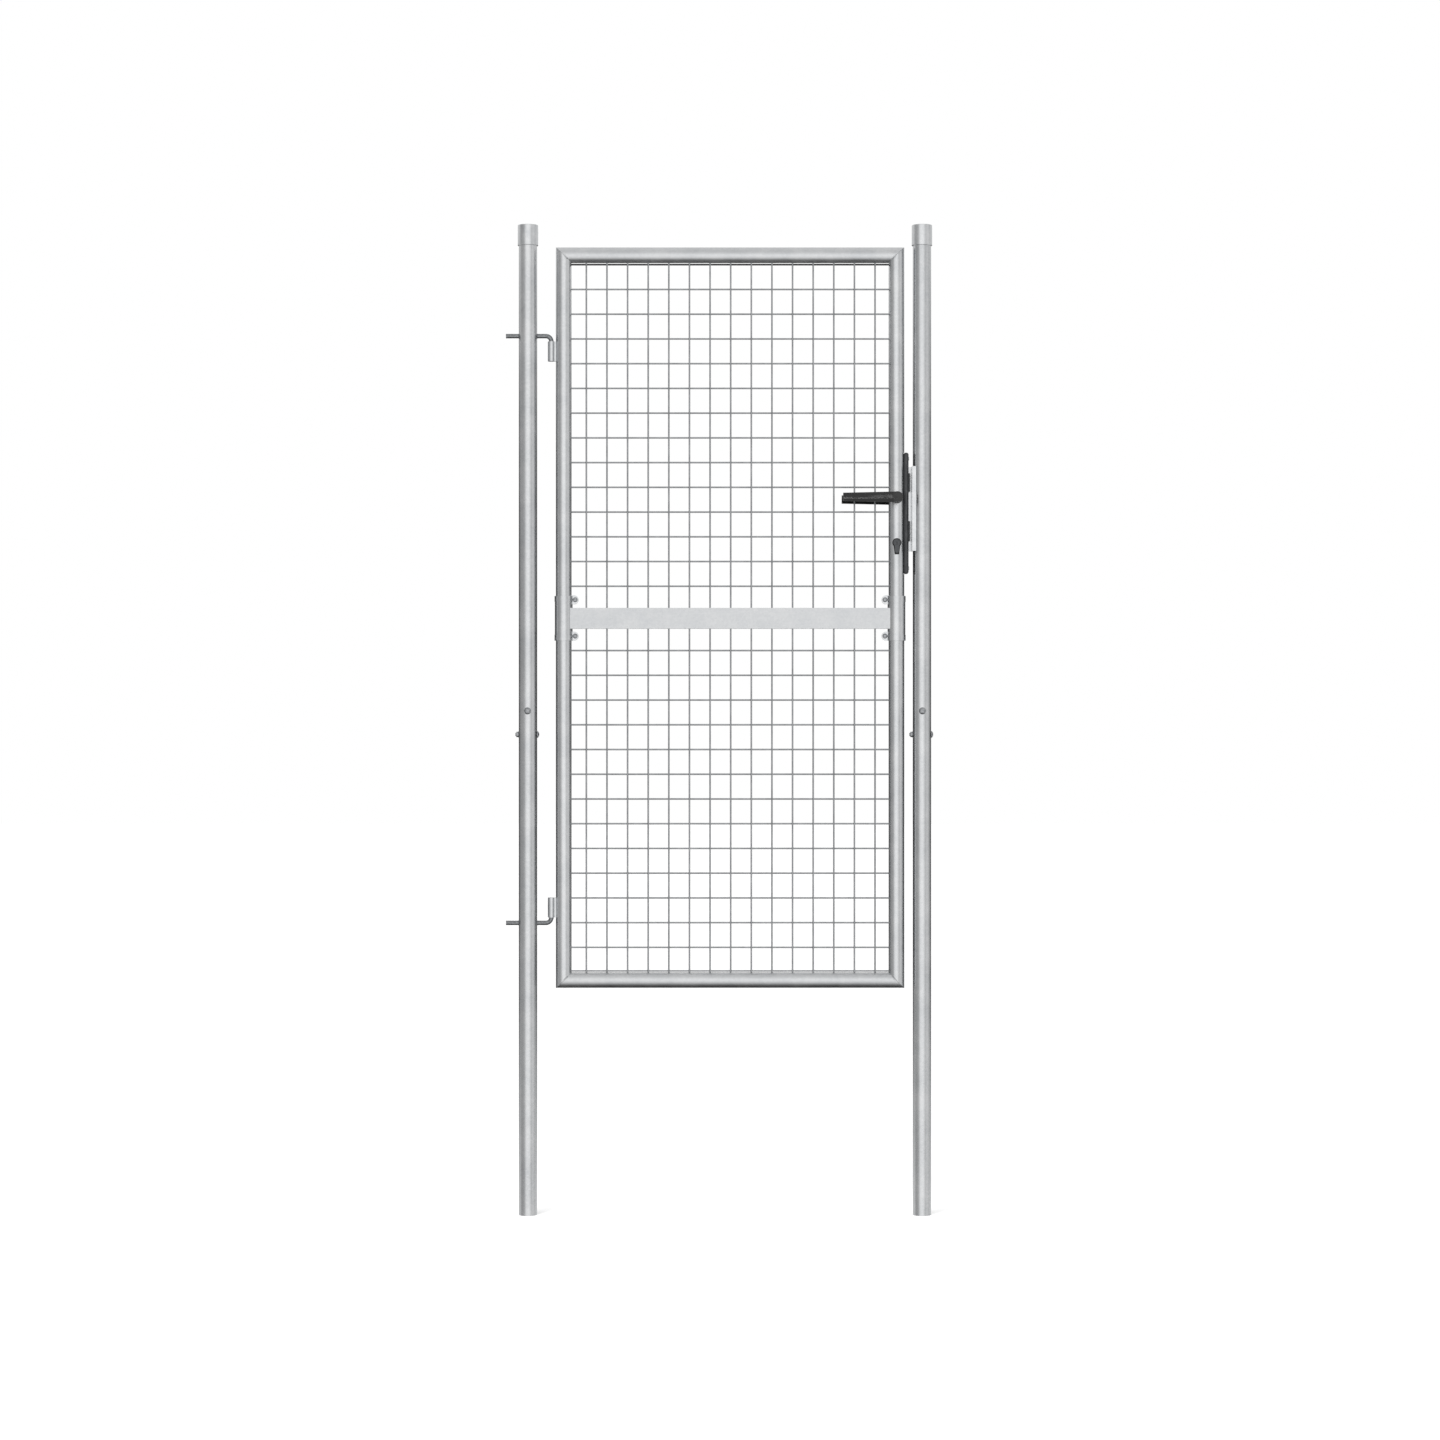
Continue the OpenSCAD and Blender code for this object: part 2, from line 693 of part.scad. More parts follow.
module keeper_slot(x, z, h) {
    slot_gap = 1;
    translate([x - over, -bolt_t / 2 - slot_gap, z - h / 2 - slot_gap])
        cube([keeper_t + 2 * over, bolt_t + 2 * slot_gap, h + 2 * slot_gap]);
}

// Levers

// a saddle-backed ring round a lever's neck
module rose() {
    difference() {
        rod_y(lock_stile_x, spindle_z, rose_d, -rose_y, 0);
        translate([lock_stile_x, 0, spindle_z - frame_d])
            cylinder(r = frame_r + fit_gap, h = 2 * frame_d);
        rod_y(lock_stile_x, spindle_z, neck_d + 2 * pin_play, -frame_d, over);
    }
}

module front_rose() { color("black") rose(); }
module rear_rose() { color("black") mirror([0, 1, 0]) rose(); }

// a hub, a neck into the rose and a grip that narrows to a square-cut tip
module lever() {
    tip_x = lock_stile_x - lever_len;
    difference() {
        union() {
            rod_y(lock_stile_x, spindle_z, hub_d, -lever_y1, -lever_y0);
            rod_y(lock_stile_x, spindle_z, neck_d, -lever_y1, -frame_r - stop_gap);
            slab_y(-lever_y1, -lever_y0) polygon([
                [lock_stile_x, spindle_z - hub_d / 2], [lock_stile_x, spindle_z + hub_d / 2],
                [tip_x, spindle_z + lever_tip_h / 2], [tip_x, spindle_z - lever_tip_h / 2]
            ]);
        }
        spindle_bar(spindle_w + 2 * pin_play, lever_y0 + fit_gap);
    }
}

// the square bar along Y, reaching y at each end
module spindle_bar(w, y) {
    translate([lock_stile_x - w / 2, -y, spindle_z - w / 2]) cube([w, 2 * y, w]);
}

module front_lever() { color("black") lever(); }
module rear_lever() { color("black") mirror([0, 1, 0]) lever(); }

// the square bar with the round hub that turns in the lock case
module handle_spindle() {
    color("gray") {
        spindle_bar(spindle_w, lever_y0);
        rod_y(lock_stile_x, spindle_z, hub_bore_d, -case_t / 2, case_t / 2);
    }
}

hinge_post_lower();
hinge_post_upper();
hinge_post_connector();
hinge_post_cap();
hinge_post_bolts();
lock_post_lower();
lock_post_upper();
lock_post_connector();
lock_post_cap();
lock_post_bolts();
upper_hinge_bolt();
lower_hinge_bolt();
lock_keeper();
top_rail();
bottom_rail();
hinge_stile_upper();
hinge_stile_lower();
lock_stile_upper();
lock_stile_lower();
middle_bar();
upper_mesh_panel();
lower_mesh_panel();
upper_hinge_sleeve();
lower_hinge_sleeve();
hinge_stile_clamp();
lock_stile_clamp();
hinge_clamp_bolts();
lock_clamp_bolts();
lock_case();
lock_forend();
forend_screws();
latch_bolt();
dead_bolt();
front_rose();
rear_rose();
front_escutcheon();
rear_escutcheon();
lock_cylinder();
front_lever();
rear_lever();
handle_spindle();
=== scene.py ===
"""Looks of a steel garden gate: round galvanised tubes, welded wire mesh, a dark lock and black levers."""

import json
import logging
import math
from dataclasses import dataclass
from enum import Enum
from typing import Any

import bpy
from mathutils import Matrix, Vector

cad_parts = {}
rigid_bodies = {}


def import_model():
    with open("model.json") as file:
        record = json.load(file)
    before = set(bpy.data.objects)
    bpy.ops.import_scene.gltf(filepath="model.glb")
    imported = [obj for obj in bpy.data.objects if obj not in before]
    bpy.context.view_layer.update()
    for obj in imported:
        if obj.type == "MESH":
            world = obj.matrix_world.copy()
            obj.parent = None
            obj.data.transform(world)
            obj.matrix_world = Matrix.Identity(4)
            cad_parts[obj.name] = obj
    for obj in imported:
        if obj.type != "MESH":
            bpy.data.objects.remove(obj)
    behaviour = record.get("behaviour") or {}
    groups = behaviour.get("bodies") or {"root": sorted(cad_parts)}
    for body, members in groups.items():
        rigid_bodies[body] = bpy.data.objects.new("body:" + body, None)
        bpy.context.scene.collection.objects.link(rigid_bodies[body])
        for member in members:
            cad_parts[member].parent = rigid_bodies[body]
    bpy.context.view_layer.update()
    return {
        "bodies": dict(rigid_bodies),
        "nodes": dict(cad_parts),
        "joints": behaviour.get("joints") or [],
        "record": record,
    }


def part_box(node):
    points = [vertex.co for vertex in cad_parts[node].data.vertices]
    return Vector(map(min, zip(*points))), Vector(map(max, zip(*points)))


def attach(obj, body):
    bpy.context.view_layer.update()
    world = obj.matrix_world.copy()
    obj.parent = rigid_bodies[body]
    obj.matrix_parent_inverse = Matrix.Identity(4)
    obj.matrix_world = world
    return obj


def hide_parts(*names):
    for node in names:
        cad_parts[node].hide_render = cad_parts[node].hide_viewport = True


LOG = logging.getLogger("garden_gate")
MM = 0.001


class Along(Enum):
    """The way a tube, bar or wire was drawn, which is the way its fine lines run."""

    X = (0.04, 1.0, 1.0)
    Y = (1.0, 0.04, 1.0)
    Z = (1.0, 1.0, 0.04)


class Body(Enum):
    """The bodies of the gate that move as one."""

    POSTS = "posts"
    LEAF = "leaf"
    HANDLE = "handle"
    LATCH = "latch"
    DEAD_BOLT = "dead_bolt"


# ---------------------------------------------------------------- nodes and colours


def linear(hex_colour: str) -> tuple[float, float, float, float]:
    """Turns an sRGB hex colour to linear light.

    Args:
        hex_colour: six hex digits, such as "b9babb".

    Returns:
        Red, green, blue and an opaque alpha.
    """
    parts = [int(hex_colour[i : i + 2], 16) / 255 for i in (0, 2, 4)]
    red, green, blue = (c / 12.92 if c <= 0.04045 else ((c + 0.055) / 1.055) ** 2.4 for c in parts)
    return red, green, blue, 1.0


def add_node(tree: bpy.types.NodeTree, kind: str, settings: dict | None = None, links: dict | None = None) -> bpy.types.Node:
    """Adds one node to a tree, with its settings and links.

    Args:
        tree: the material's or world's node tree.
        kind: the node's type, such as "ShaderNodeBump".
        settings: socket or property names to values; "stops" is a colour ramp's list of (place, hex colour).
        links: socket names to the outputs that feed them.

    Returns:
        The new node.
    """
    node = tree.nodes.new(kind)
    for key, value in (settings or {}).items():
        if key == "stops":
            ramp = node.color_ramp.elements
            while len(ramp) > 1:
                ramp.remove(ramp[-1])
            ramp[0].position, ramp[0].color = value[0][0], linear(value[0][1])
            for place, colour in value[1:]:
                ramp.new(place).color = linear(colour)
        elif isinstance(key, int) or key in node.inputs:
            node.inputs[key].default_value = value
        else:
            setattr(node, key, value)
    for key, output in (links or {}).items():
        tree.links.new(output, node.inputs[key])
    return node


# ---------------------------------------------------------------- finishes


@dataclass(frozen=True)
class Finish:
    """A surface finish, named for its material and how it was made."""

    name: str

    def start(self) -> tuple[bpy.types.Material, bpy.types.NodeTree, bpy.types.Node, Any]:
        """Makes an empty material with its shader and object coordinates.

        Returns:
            The material, its node tree, its Principled shader and the Object coordinate output.
        """
        material = bpy.data.materials.new(self.name)
        material.use_nodes = True
        tree = material.node_tree
        tree.nodes.clear()
        shader = add_node(tree, "ShaderNodeBsdfPrincipled")
        add_node(tree, "ShaderNodeOutputMaterial", links={"Surface": shader.outputs["BSDF"]})
        place = add_node(tree, "ShaderNodeTexCoord").outputs["Object"]
        return material, tree, shader, place


@dataclass(frozen=True)
class GalvanizedSteel(Finish):
    """Hot-dip galvanised tube: satin zinc in two soft greys, with a fine spangle and faint drawn lines."""

    along: Along = Along.Z
    dark: str = "c3c5c7"
    light: str = "d6d7d8"
    cloud_mm: float = 55.0
    # A real spangle is 1 to 3 mm; it is drawn at 5 mm, because a finer one can't be seen from this far.
    spangle_mm: float = 5.0
    line_mm: float = 1.6
    smoothest: float = 0.20
    roughest: float = 0.30
    ripple_mm: float = 0.012

    def make(self) -> bpy.types.Material:
        """Builds the zinc material."""
        material, tree, shader, place = self.start()
        shader.inputs["Metallic"].default_value = 1.0
        # Slow clouds: the zinc bath leaves paler and darker patches a few centimetres long.
        clouds = add_node(tree, "ShaderNodeTexNoise", {"Scale": 1 / (self.cloud_mm * MM), "Detail": 3.0, "Roughness": 0.55}, {"Vector": place})
        # Spangle: each crystal takes its own shade.
        spangle = add_node(tree, "ShaderNodeTexVoronoi", {"Scale": 1 / (self.spangle_mm * MM)}, {"Vector": place})
        shade = add_node(tree, "ShaderNodeSeparateColor", links={"Color": spangle.outputs["Color"]})
        # Drawn lines: hair-thin streaks along the tube from the rolls that formed it.
        stretch = add_node(tree, "ShaderNodeMapping", {"Scale": self.along.value}, {"Vector": place})
        lines = add_node(tree, "ShaderNodeTexNoise", {"Scale": 1 / (self.line_mm * MM), "Detail": 2.0}, {"Vector": stretch.outputs["Vector"]})
        with_spangle = add_node(tree, "ShaderNodeMix", {"data_type": "FLOAT", "Factor": 0.14}, {"A": clouds.outputs["Fac"], "B": shade.outputs["Red"]})
        with_lines = add_node(tree, "ShaderNodeMix", {"data_type": "FLOAT", "Factor": 0.12}, {"A": with_spangle.outputs["Result"], "B": lines.outputs["Fac"]})
        colour = add_node(tree, "ShaderNodeValToRGB", {"stops": [(0.30, self.dark), (0.70, self.light)]}, {"Fac": with_lines.outputs["Result"]})
        tree.links.new(colour.outputs["Color"], shader.inputs["Base Color"])
        # Roughness follows the clouds, so that the sheen breaks up softly.
        rough = add_node(
            tree,
            "ShaderNodeMapRange",
            {"From Min": 0.25, "From Max": 0.75, "To Min": self.smoothest, "To Max": self.roughest},
            {"Value": clouds.outputs["Fac"]},
        )
        tree.links.new(rough.outputs["Result"], shader.inputs["Roughness"])
        # The zinc coat is a few hundredths of a millimetre uneven.
        ripple = add_node(tree, "ShaderNodeTexNoise", {"Scale": 1 / (9 * MM), "Detail": 3.0}, {"Vector": place})
        bump = add_node(tree, "ShaderNodeBump", {"Strength": 0.6, "Distance": self.ripple_mm * MM}, {"Height": ripple.outputs["Fac"]})
        tree.links.new(bump.outputs["Normal"], shader.inputs["Normal"])
        return material


@dataclass(frozen=True)
class RawWeld(Finish):
    """Arc weld under cold zinc paint: darker and rougher than the tube, with the ripples of the bead."""

    dark: str = "77797b"
    light: str = "a9abad"
    ripple_mm: float = 1.4

    def make(self) -> bpy.types.Material:
        """Builds the weld material."""
        material, tree, shader, place = self.start()
        shader.inputs["Metallic"].default_value = 1.0
        waves = add_node(tree, "ShaderNodeTexNoise", {"Scale": 1 / (self.ripple_mm * MM), "Detail": 2.0, "Distortion": 0.6}, {"Vector": place})
        colour = add_node(tree, "ShaderNodeValToRGB", {"stops": [(0.3, self.dark), (0.7, self.light)]}, {"Fac": waves.outputs["Fac"]})
        rough = add_node(tree, "ShaderNodeMapRange", {"To Min": 0.42, "To Max": 0.62}, {"Value": waves.outputs["Fac"]})
        bump = add_node(tree, "ShaderNodeBump", {"Strength": 0.8, "Distance": 0.3 * MM}, {"Height": waves.outputs["Fac"]})
        tree.links.new(colour.outputs["Color"], shader.inputs["Base Color"])
        tree.links.new(rough.outputs["Result"], shader.inputs["Roughness"])
        tree.links.new(bump.outputs["Normal"], shader.inputs["Normal"])
        return material


@dataclass(frozen=True)
class PlatedFastener(Finish):
    """Zinc-plated bolt steel: brighter and smoother than the tube, with turning rings and small dull spots."""

    dark: str = "a9abad"
    light: str = "d6d7d8"

    def make(self) -> bpy.types.Material:
        """Builds the bolt material."""
        material, tree, shader, place = self.start()
        shader.inputs["Metallic"].default_value = 1.0
        # Dull spots of about 3 mm, where the plating has gone matt.
        spots = add_node(tree, "ShaderNodeTexNoise", {"Scale": 1 / (3 * MM), "Detail": 3.0}, {"Vector": place})
        # Turning marks, 0.5 mm apart.
        marks = add_node(tree, "ShaderNodeTexNoise", {"Scale": 1 / (0.5 * MM), "Detail": 1.0}, {"Vector": place})
        colour = add_node(tree, "ShaderNodeValToRGB", {"stops": [(0.32, self.dark), (0.62, self.light)]}, {"Fac": spots.outputs["Fac"]})
        rough = add_node(tree, "ShaderNodeMapRange", {"To Min": 0.18, "To Max": 0.36}, {"Value": spots.outputs["Fac"]})
        bump = add_node(tree, "ShaderNodeBump", {"Strength": 0.5, "Distance": 0.02 * MM}, {"Height": marks.outputs["Fac"]})
        tree.links.new(colour.outputs["Color"], shader.inputs["Base Color"])
        tree.links.new(rough.outputs["Result"], shader.inputs["Roughness"])
        tree.links.new(bump.outputs["Normal"], shader.inputs["Normal"])
        return material


@dataclass(frozen=True)
class CoatedLockSteel(Finish):
    """Dark coated lock steel: a near-black satin coat with upright brush lines and a few paler rubs."""

    along: Along = Along.Z
    dark: str = "2e2f31"
    light: str = "4b4c4e"
    rub: str = "66686a"

    def make(self) -> bpy.types.Material:
        """Builds the lock coat material."""
        material, tree, shader, place = self.start()
        shader.inputs["Metallic"].default_value = 0.6
        shader.inputs["Coat Weight"].default_value = 0.15
        shader.inputs["Coat Roughness"].default_value = 0.3
        # Brush lines, 0.8 mm apart and drawn out along the piece.
        stretch = add_node(tree, "ShaderNodeMapping", {"Scale": self.along.value}, {"Vector": place})
        brush = add_node(tree, "ShaderNodeTexNoise", {"Scale": 1 / (0.8 * MM), "Detail": 2.0}, {"Vector": stretch.outputs["Vector"]})
        # Rubs of about 12 mm, where hands and the keeper have polished the coat.
        rubs = add_node(tree, "ShaderNodeTexNoise", {"Scale": 1 / (12 * MM), "Detail": 4.0, "Roughness": 0.6}, {"Vector": place})
        base = add_node(tree, "ShaderNodeValToRGB", {"stops": [(0.3, self.dark), (0.7, self.light)]}, {"Fac": brush.outputs["Fac"]})
        worn = add_node(tree, "ShaderNodeMapRange", {"From Min": 0.58, "From Max": 0.72, "To Min": 0.0, "To Max": 0.45}, {"Value": rubs.outputs["Fac"]})
        colour = add_node(
            tree, "ShaderNodeMix", {"data_type": "RGBA", 7: linear(self.rub)}, {0: worn.outputs["Result"], 6: base.outputs["Color"]}
        )
        rough = add_node(tree, "ShaderNodeMapRange", {"To Min": 0.30, "To Max": 0.46}, {"Value": brush.outputs["Fac"]})
        bump = add_node(tree, "ShaderNodeBump", {"Strength": 0.5, "Distance": 0.03 * MM}, {"Height": brush.outputs["Fac"]})
        tree.links.new(colour.outputs[2], shader.inputs["Base Color"])
        tree.links.new(rough.outputs["Result"], shader.inputs["Roughness"])
        tree.links.new(bump.outputs["Normal"], shader.inputs["Normal"])
        return material


@dataclass(frozen=True)
class MouldedPlastic(Finish):
    """Moulded ABS: solid black through and through, with the mould's slight orange peel under the gloss."""

    dark: str = "0b0b0c"
    light: str = "161617"
    smoothest: float = 0.10
    roughest: float = 0.20
    peel_mm: float = 2.2
    peel_depth_mm: float = 0.006
    skin: float = 0.0
    mirror: float = 0.5

    def make(self) -> bpy.types.Material:
        """Builds the plastic material."""
        material, tree, shader, place = self.start()
        shader.inputs["IOR"].default_value = 1.54
        # The polished mould leaves a glassy skin over the black.
        shader.inputs["Coat Weight"].default_value = self.skin
        shader.inputs["Specular IOR Level"].default_value = self.mirror
        shader.inputs["Coat Roughness"].default_value = 0.06
        # Handling haze: faint patches of about 15 mm that dull the gloss.
        haze = add_node(tree, "ShaderNodeTexNoise", {"Scale": 1 / (15 * MM), "Detail": 3.0}, {"Vector": place})
        peel = add_node(tree, "ShaderNodeTexNoise", {"Scale": 1 / (self.peel_mm * MM), "Detail": 1.0}, {"Vector": place})
        colour = add_node(tree, "ShaderNodeValToRGB", {"stops": [(0.35, self.dark), (0.75, self.light)]}, {"Fac": haze.outputs["Fac"]})
        rough = add_node(
            tree, "ShaderNodeMapRange", {"From Min": 0.3, "From Max": 0.7, "To Min": self.smoothest, "To Max": self.roughest}, {"Value": haze.outputs["Fac"]}
        )
        bump = add_node(tree, "ShaderNodeBump", {"Strength": 0.4, "Distance": self.peel_depth_mm * MM}, {"Height": peel.outputs["Fac"]})
        tree.links.new(colour.outputs["Color"], shader.inputs["Base Color"])
        tree.links.new(rough.outputs["Result"], shader.inputs["Roughness"])
        tree.links.new(bump.outputs["Normal"], shader.inputs["Normal"])
        return material


# ---------------------------------------------------------------- modelling helpers


def deselect() -> None:
    """Leaves edit mode and deselects every object."""
    if bpy.context.object and bpy.context.object.mode != "OBJECT":
        bpy.ops.object.mode_set(mode="OBJECT")
    bpy.ops.object.select_all(action="DESELECT")


def pick(piece: bpy.types.Object) -> bpy.types.Object:
    """Makes one object the only one selected, and active."""
    deselect()
    piece.select_set(True)
    bpy.context.view_layer.objects.active = piece
    return piece


def place_new(name: str) -> bpy.types.Object:
    """Names the primitive just added and moves its place into its mesh."""
    piece = bpy.context.object
    piece.name = piece.data.name = name
    bpy.ops.object.transform_apply(location=True, rotation=True, scale=True)
    return piece


def bar(name: str, radius: float, start: tuple, end: tuple, sides: int = 48) -> bpy.types.Object:
    """Adds a closed round bar, or a prism if it has few sides.

    Args:
        name: the piece's name.
        radius: the bar's radius.
        start: the middle of one end.
        end: the middle of the other end.
        sides: faces round the bar.

    Returns:
        The bar.
    """
    low, high = Vector(start), Vector(end)
    axis = high - low
    deselect()
    bpy.ops.mesh.primitive_cylinder_add(
        vertices=sides, radius=radius, depth=axis.length, location=(low + high) / 2, rotation=axis.to_track_quat("Z", "Y").to_euler()
    )
    return place_new(name)


def block(name: str, low: tuple, high: tuple) -> bpy.types.Object:
    """Adds a square block between two corners."""
    low_corner, high_corner = Vector(low), Vector(high)
    deselect()
    bpy.ops.mesh.primitive_cube_add(size=1, location=(low_corner + high_corner) / 2)
    bpy.context.object.scale = high_corner - low_corner
    return place_new(name)


def bead(name: str, centre: tuple, normal: tuple, radius: float, thick: float, stretch: float = 1.0) -> bpy.types.Object:
    """Adds a ring-shaped bead of weld.

    Args:
        name: the piece's name.
        centre: the ring's centre.
        normal: the ring's axis, in the XZ plane or along Y.
        radius: the ring's radius along Y.
        thick: the bead's half-thickness.
        stretch: how much longer the ring is across Y, for a mitred tube.

    Returns:
        The bead.
    """
    deselect()
    turn = Vector(normal).to_track_quat("Z", "Y").to_euler()
    bpy.ops.mesh.primitive_torus_add(location=centre, rotation=turn, major_radius=radius, minor_radius=thick, major_segments=64, minor_segments=10)
    bpy.context.object.scale = (stretch, 1.0, 1.0)
    return place_new(name)


def apply_modifier(piece: bpy.types.Object, kind: str, **settings: Any) -> bpy.types.Object:
    """Adds one modifier to a piece and applies it.

    Args:
        piece: the piece to change.
        kind: the modifier's type, such as "BEVEL".
        **settings: the modifier's settings.

    Returns:
        The piece.
    """
    pick(piece)
    modifier = piece.modifiers.new(kind.title(), kind)
    for key, value in settings.items():
        setattr(modifier, key, value)
    bpy.ops.object.modifier_apply(modifier=modifier.name)
    return piece


def round_edges(piece: bpy.types.Object, width: float, segments: int = 3, sharper_than: float = 30.0) -> bpy.types.Object:
    """Rounds the piece's edges that are sharper than an angle in degrees."""
    return apply_modifier(piece, "BEVEL", width=width, segments=segments, limit_method="ANGLE", angle_limit=math.radians(sharper_than))


def unite(piece: bpy.types.Object, *others: bpy.types.Object) -> bpy.types.Object:
    """Fuses other solids into the piece."""
    return boolean(piece, "UNION", *others)


def cut(piece: bpy.types.Object, *others: bpy.types.Object) -> bpy.types.Object:
    """Cuts other solids out of the piece."""
    return boolean(piece, "DIFFERENCE", *others)


def boolean(piece: bpy.types.Object, operation: str, *others: bpy.types.Object) -> bpy.types.Object:
    """Joins or cuts solids and removes the tools.

    Args:
        piece: the solid that is kept.
        operation: "UNION" or "DIFFERENCE".
        *others: the tools.

    Returns:
        The piece.
    """
    for other in others:
        apply_modifier(piece, "BOOLEAN", operation=operation, object=other, solver="EXACT")
        bpy.data.objects.remove(other)
    return piece


def join(name: str, pieces: list[bpy.types.Object]) -> bpy.types.Object:
    """Joins several solids into one object without fusing them."""
    pick(pieces[0])
    for piece in pieces:
        piece.select_set(True)
    bpy.ops.object.join()
    pieces[0].name = pieces[0].data.name = name
    return pieces[0]


def copy_at(piece: bpy.types.Object, shift: tuple, name: str) -> bpy.types.Object:
    """Copies a piece with a mesh of its own and moves it."""
    pick(piece)
    bpy.ops.object.duplicate(linked=False)
    bpy.ops.transform.translate(value=shift)
    return place_new(name)


def turned_copy(piece: bpy.types.Object, name: str) -> bpy.types.Object:
    """Copies a piece to the other face of the gate, mirrored across the leaf's middle plane."""
    pick(piece)
    bpy.ops.object.duplicate(linked=False)
    bpy.context.object.scale = (1.0, -1.0, 1.0)
    return place_new(name)


def finish_mesh(piece: bpy.types.Object, smooth_degrees: float = 35.0) -> bpy.types.Object:
    """Merges doubled points, turns every face outwards and smooths the round parts."""
    pick(piece)
    bpy.ops.object.mode_set(mode="EDIT")
    bpy.ops.mesh.select_all(action="SELECT")
    bpy.ops.mesh.remove_doubles(threshold=0.000005)
    bpy.ops.mesh.normals_make_consistent(inside=False)
    bpy.ops.object.mode_set(mode="OBJECT")
    bpy.ops.object.shade_smooth_by_angle(angle=math.radians(smooth_degrees))
    # Flat faces keep their own direction beside a rounded edge, so that they mirror as flat ones do.
    return apply_modifier(piece, "WEIGHTED_NORMAL", mode="FACE_AREA", keep_sharp=True)


def show(piece: bpy.types.Object, finish: bpy.types.Material, body: Body, slot: str, *replaced: str) -> bpy.types.Object:
    """Gives a finished piece its material and body, and hides the CAD nodes that it stands for.

    Args:
        piece: the finished piece.
        finish: its material.
        body: the body that it moves with.
        slot: the record's material slot; not used.
        *replaced: CAD nodes that it stands for.

    Returns:
        The piece.
    """
    finish_mesh(piece)
    piece.data.materials.clear()
    piece.data.materials.append(finish)
    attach(piece, body.value)
    if replaced:
        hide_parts(*replaced)
    LOG.info("%s rides on %s, %d faces", piece.name, body.value, len(piece.data.polygons))
    return piece


def dress(frame: dict, finish: bpy.types.Material, *nodes: str) -> None:
    """Gives CAD nodes a material through their slots."""
    for node in nodes:
        for place in frame["nodes"][node].material_slots:
            place.material = finish


def middle(node: str) -> Vector:
    """Returns the middle of a CAD node's box."""
    low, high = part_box(node)
    return (low + high) / 2


# ---------------------------------------------------------------- fasteners


@dataclass
class DomeBolt:
    """A dome-headed bolt with a washer and hex nut, along one axis."""

    radius: float
    head_height: float
    shank_radius: float
    nut_radius: float
    nut_height: float
    washer_height: float = 1.2 * MM
    thread_pitch: float = 1.25 * MM
    thread_out: float = 3.0 * MM

    def build(self, name: str, head_seat: Vector, nut_seat: Vector) -> bpy.types.Object:
        """Builds the bolt.

        Args:
            name: the piece's name.
            head_seat: where the head's underside sits.
            nut_seat: where the washer sits.

        Returns:
            The bolt, nut and washer as one object.
        """
        out = (head_seat - nut_seat).normalized()
        head = self.head(name + "_head", head_seat, out)
        washer = round_edges(bar(name + "_washer", self.nut_radius * 1.12, nut_seat, nut_seat - out * self.washer_height, 40), 0.3 * MM, 2)
        nut_start = nut_seat - out * self.washer_height
        nut_end = nut_start - out * self.nut_height
        nut = round_edges(bar(name + "_nut", self.nut_radius, nut_start, nut_end, 6), 0.6 * MM, 3)
        shank = bar(name + "_shank", self.shank_radius, head_seat + out * 0.2 * MM, nut_end - out * self.thread_out, 28)
        round_edges(shank, 0.5 * MM, 2)
        turns = int(self.thread_out / self.thread_pitch)
        threads = [
            bead(f"{name}_thread{k}", nut_end - out * (k + 0.6) * self.thread_pitch, out, self.shank_radius - 0.1 * MM, 0.35 * MM)
            for k in range(turns)
        ]
        return join(name, [head, washer, nut, shank, *threads])

    def head(self, name: str, seat: Vector, out: Vector) -> bpy.types.Object:
        """Builds the dome: a flattened ball, cut flat where it sits, on a short straight edge."""
        deselect()
        bpy.ops.mesh.primitive_uv_sphere_add(segments=40, ring_count=20, radius=self.radius, location=(0, 0, 0))
        bpy.context.object.scale = (1.0, 1.0, self.head_height / self.radius)
        dome = place_new(name)
        bpy.ops.object.mode_set(mode="EDIT")
        bpy.ops.mesh.select_all(action="SELECT")
        bpy.ops.mesh.bisect(plane_co=(0, 0, 0.02 * MM), plane_no=(0, 0, 1), use_fill=True, clear_inner=True)
        bpy.ops.object.mode_set(mode="OBJECT")
        pick(dome)
        dome.location = seat
        dome.rotation_euler = out.to_track_quat("Z", "Y").to_euler()
        return place_new(name)


# ---------------------------------------------------------------- sub-assemblies


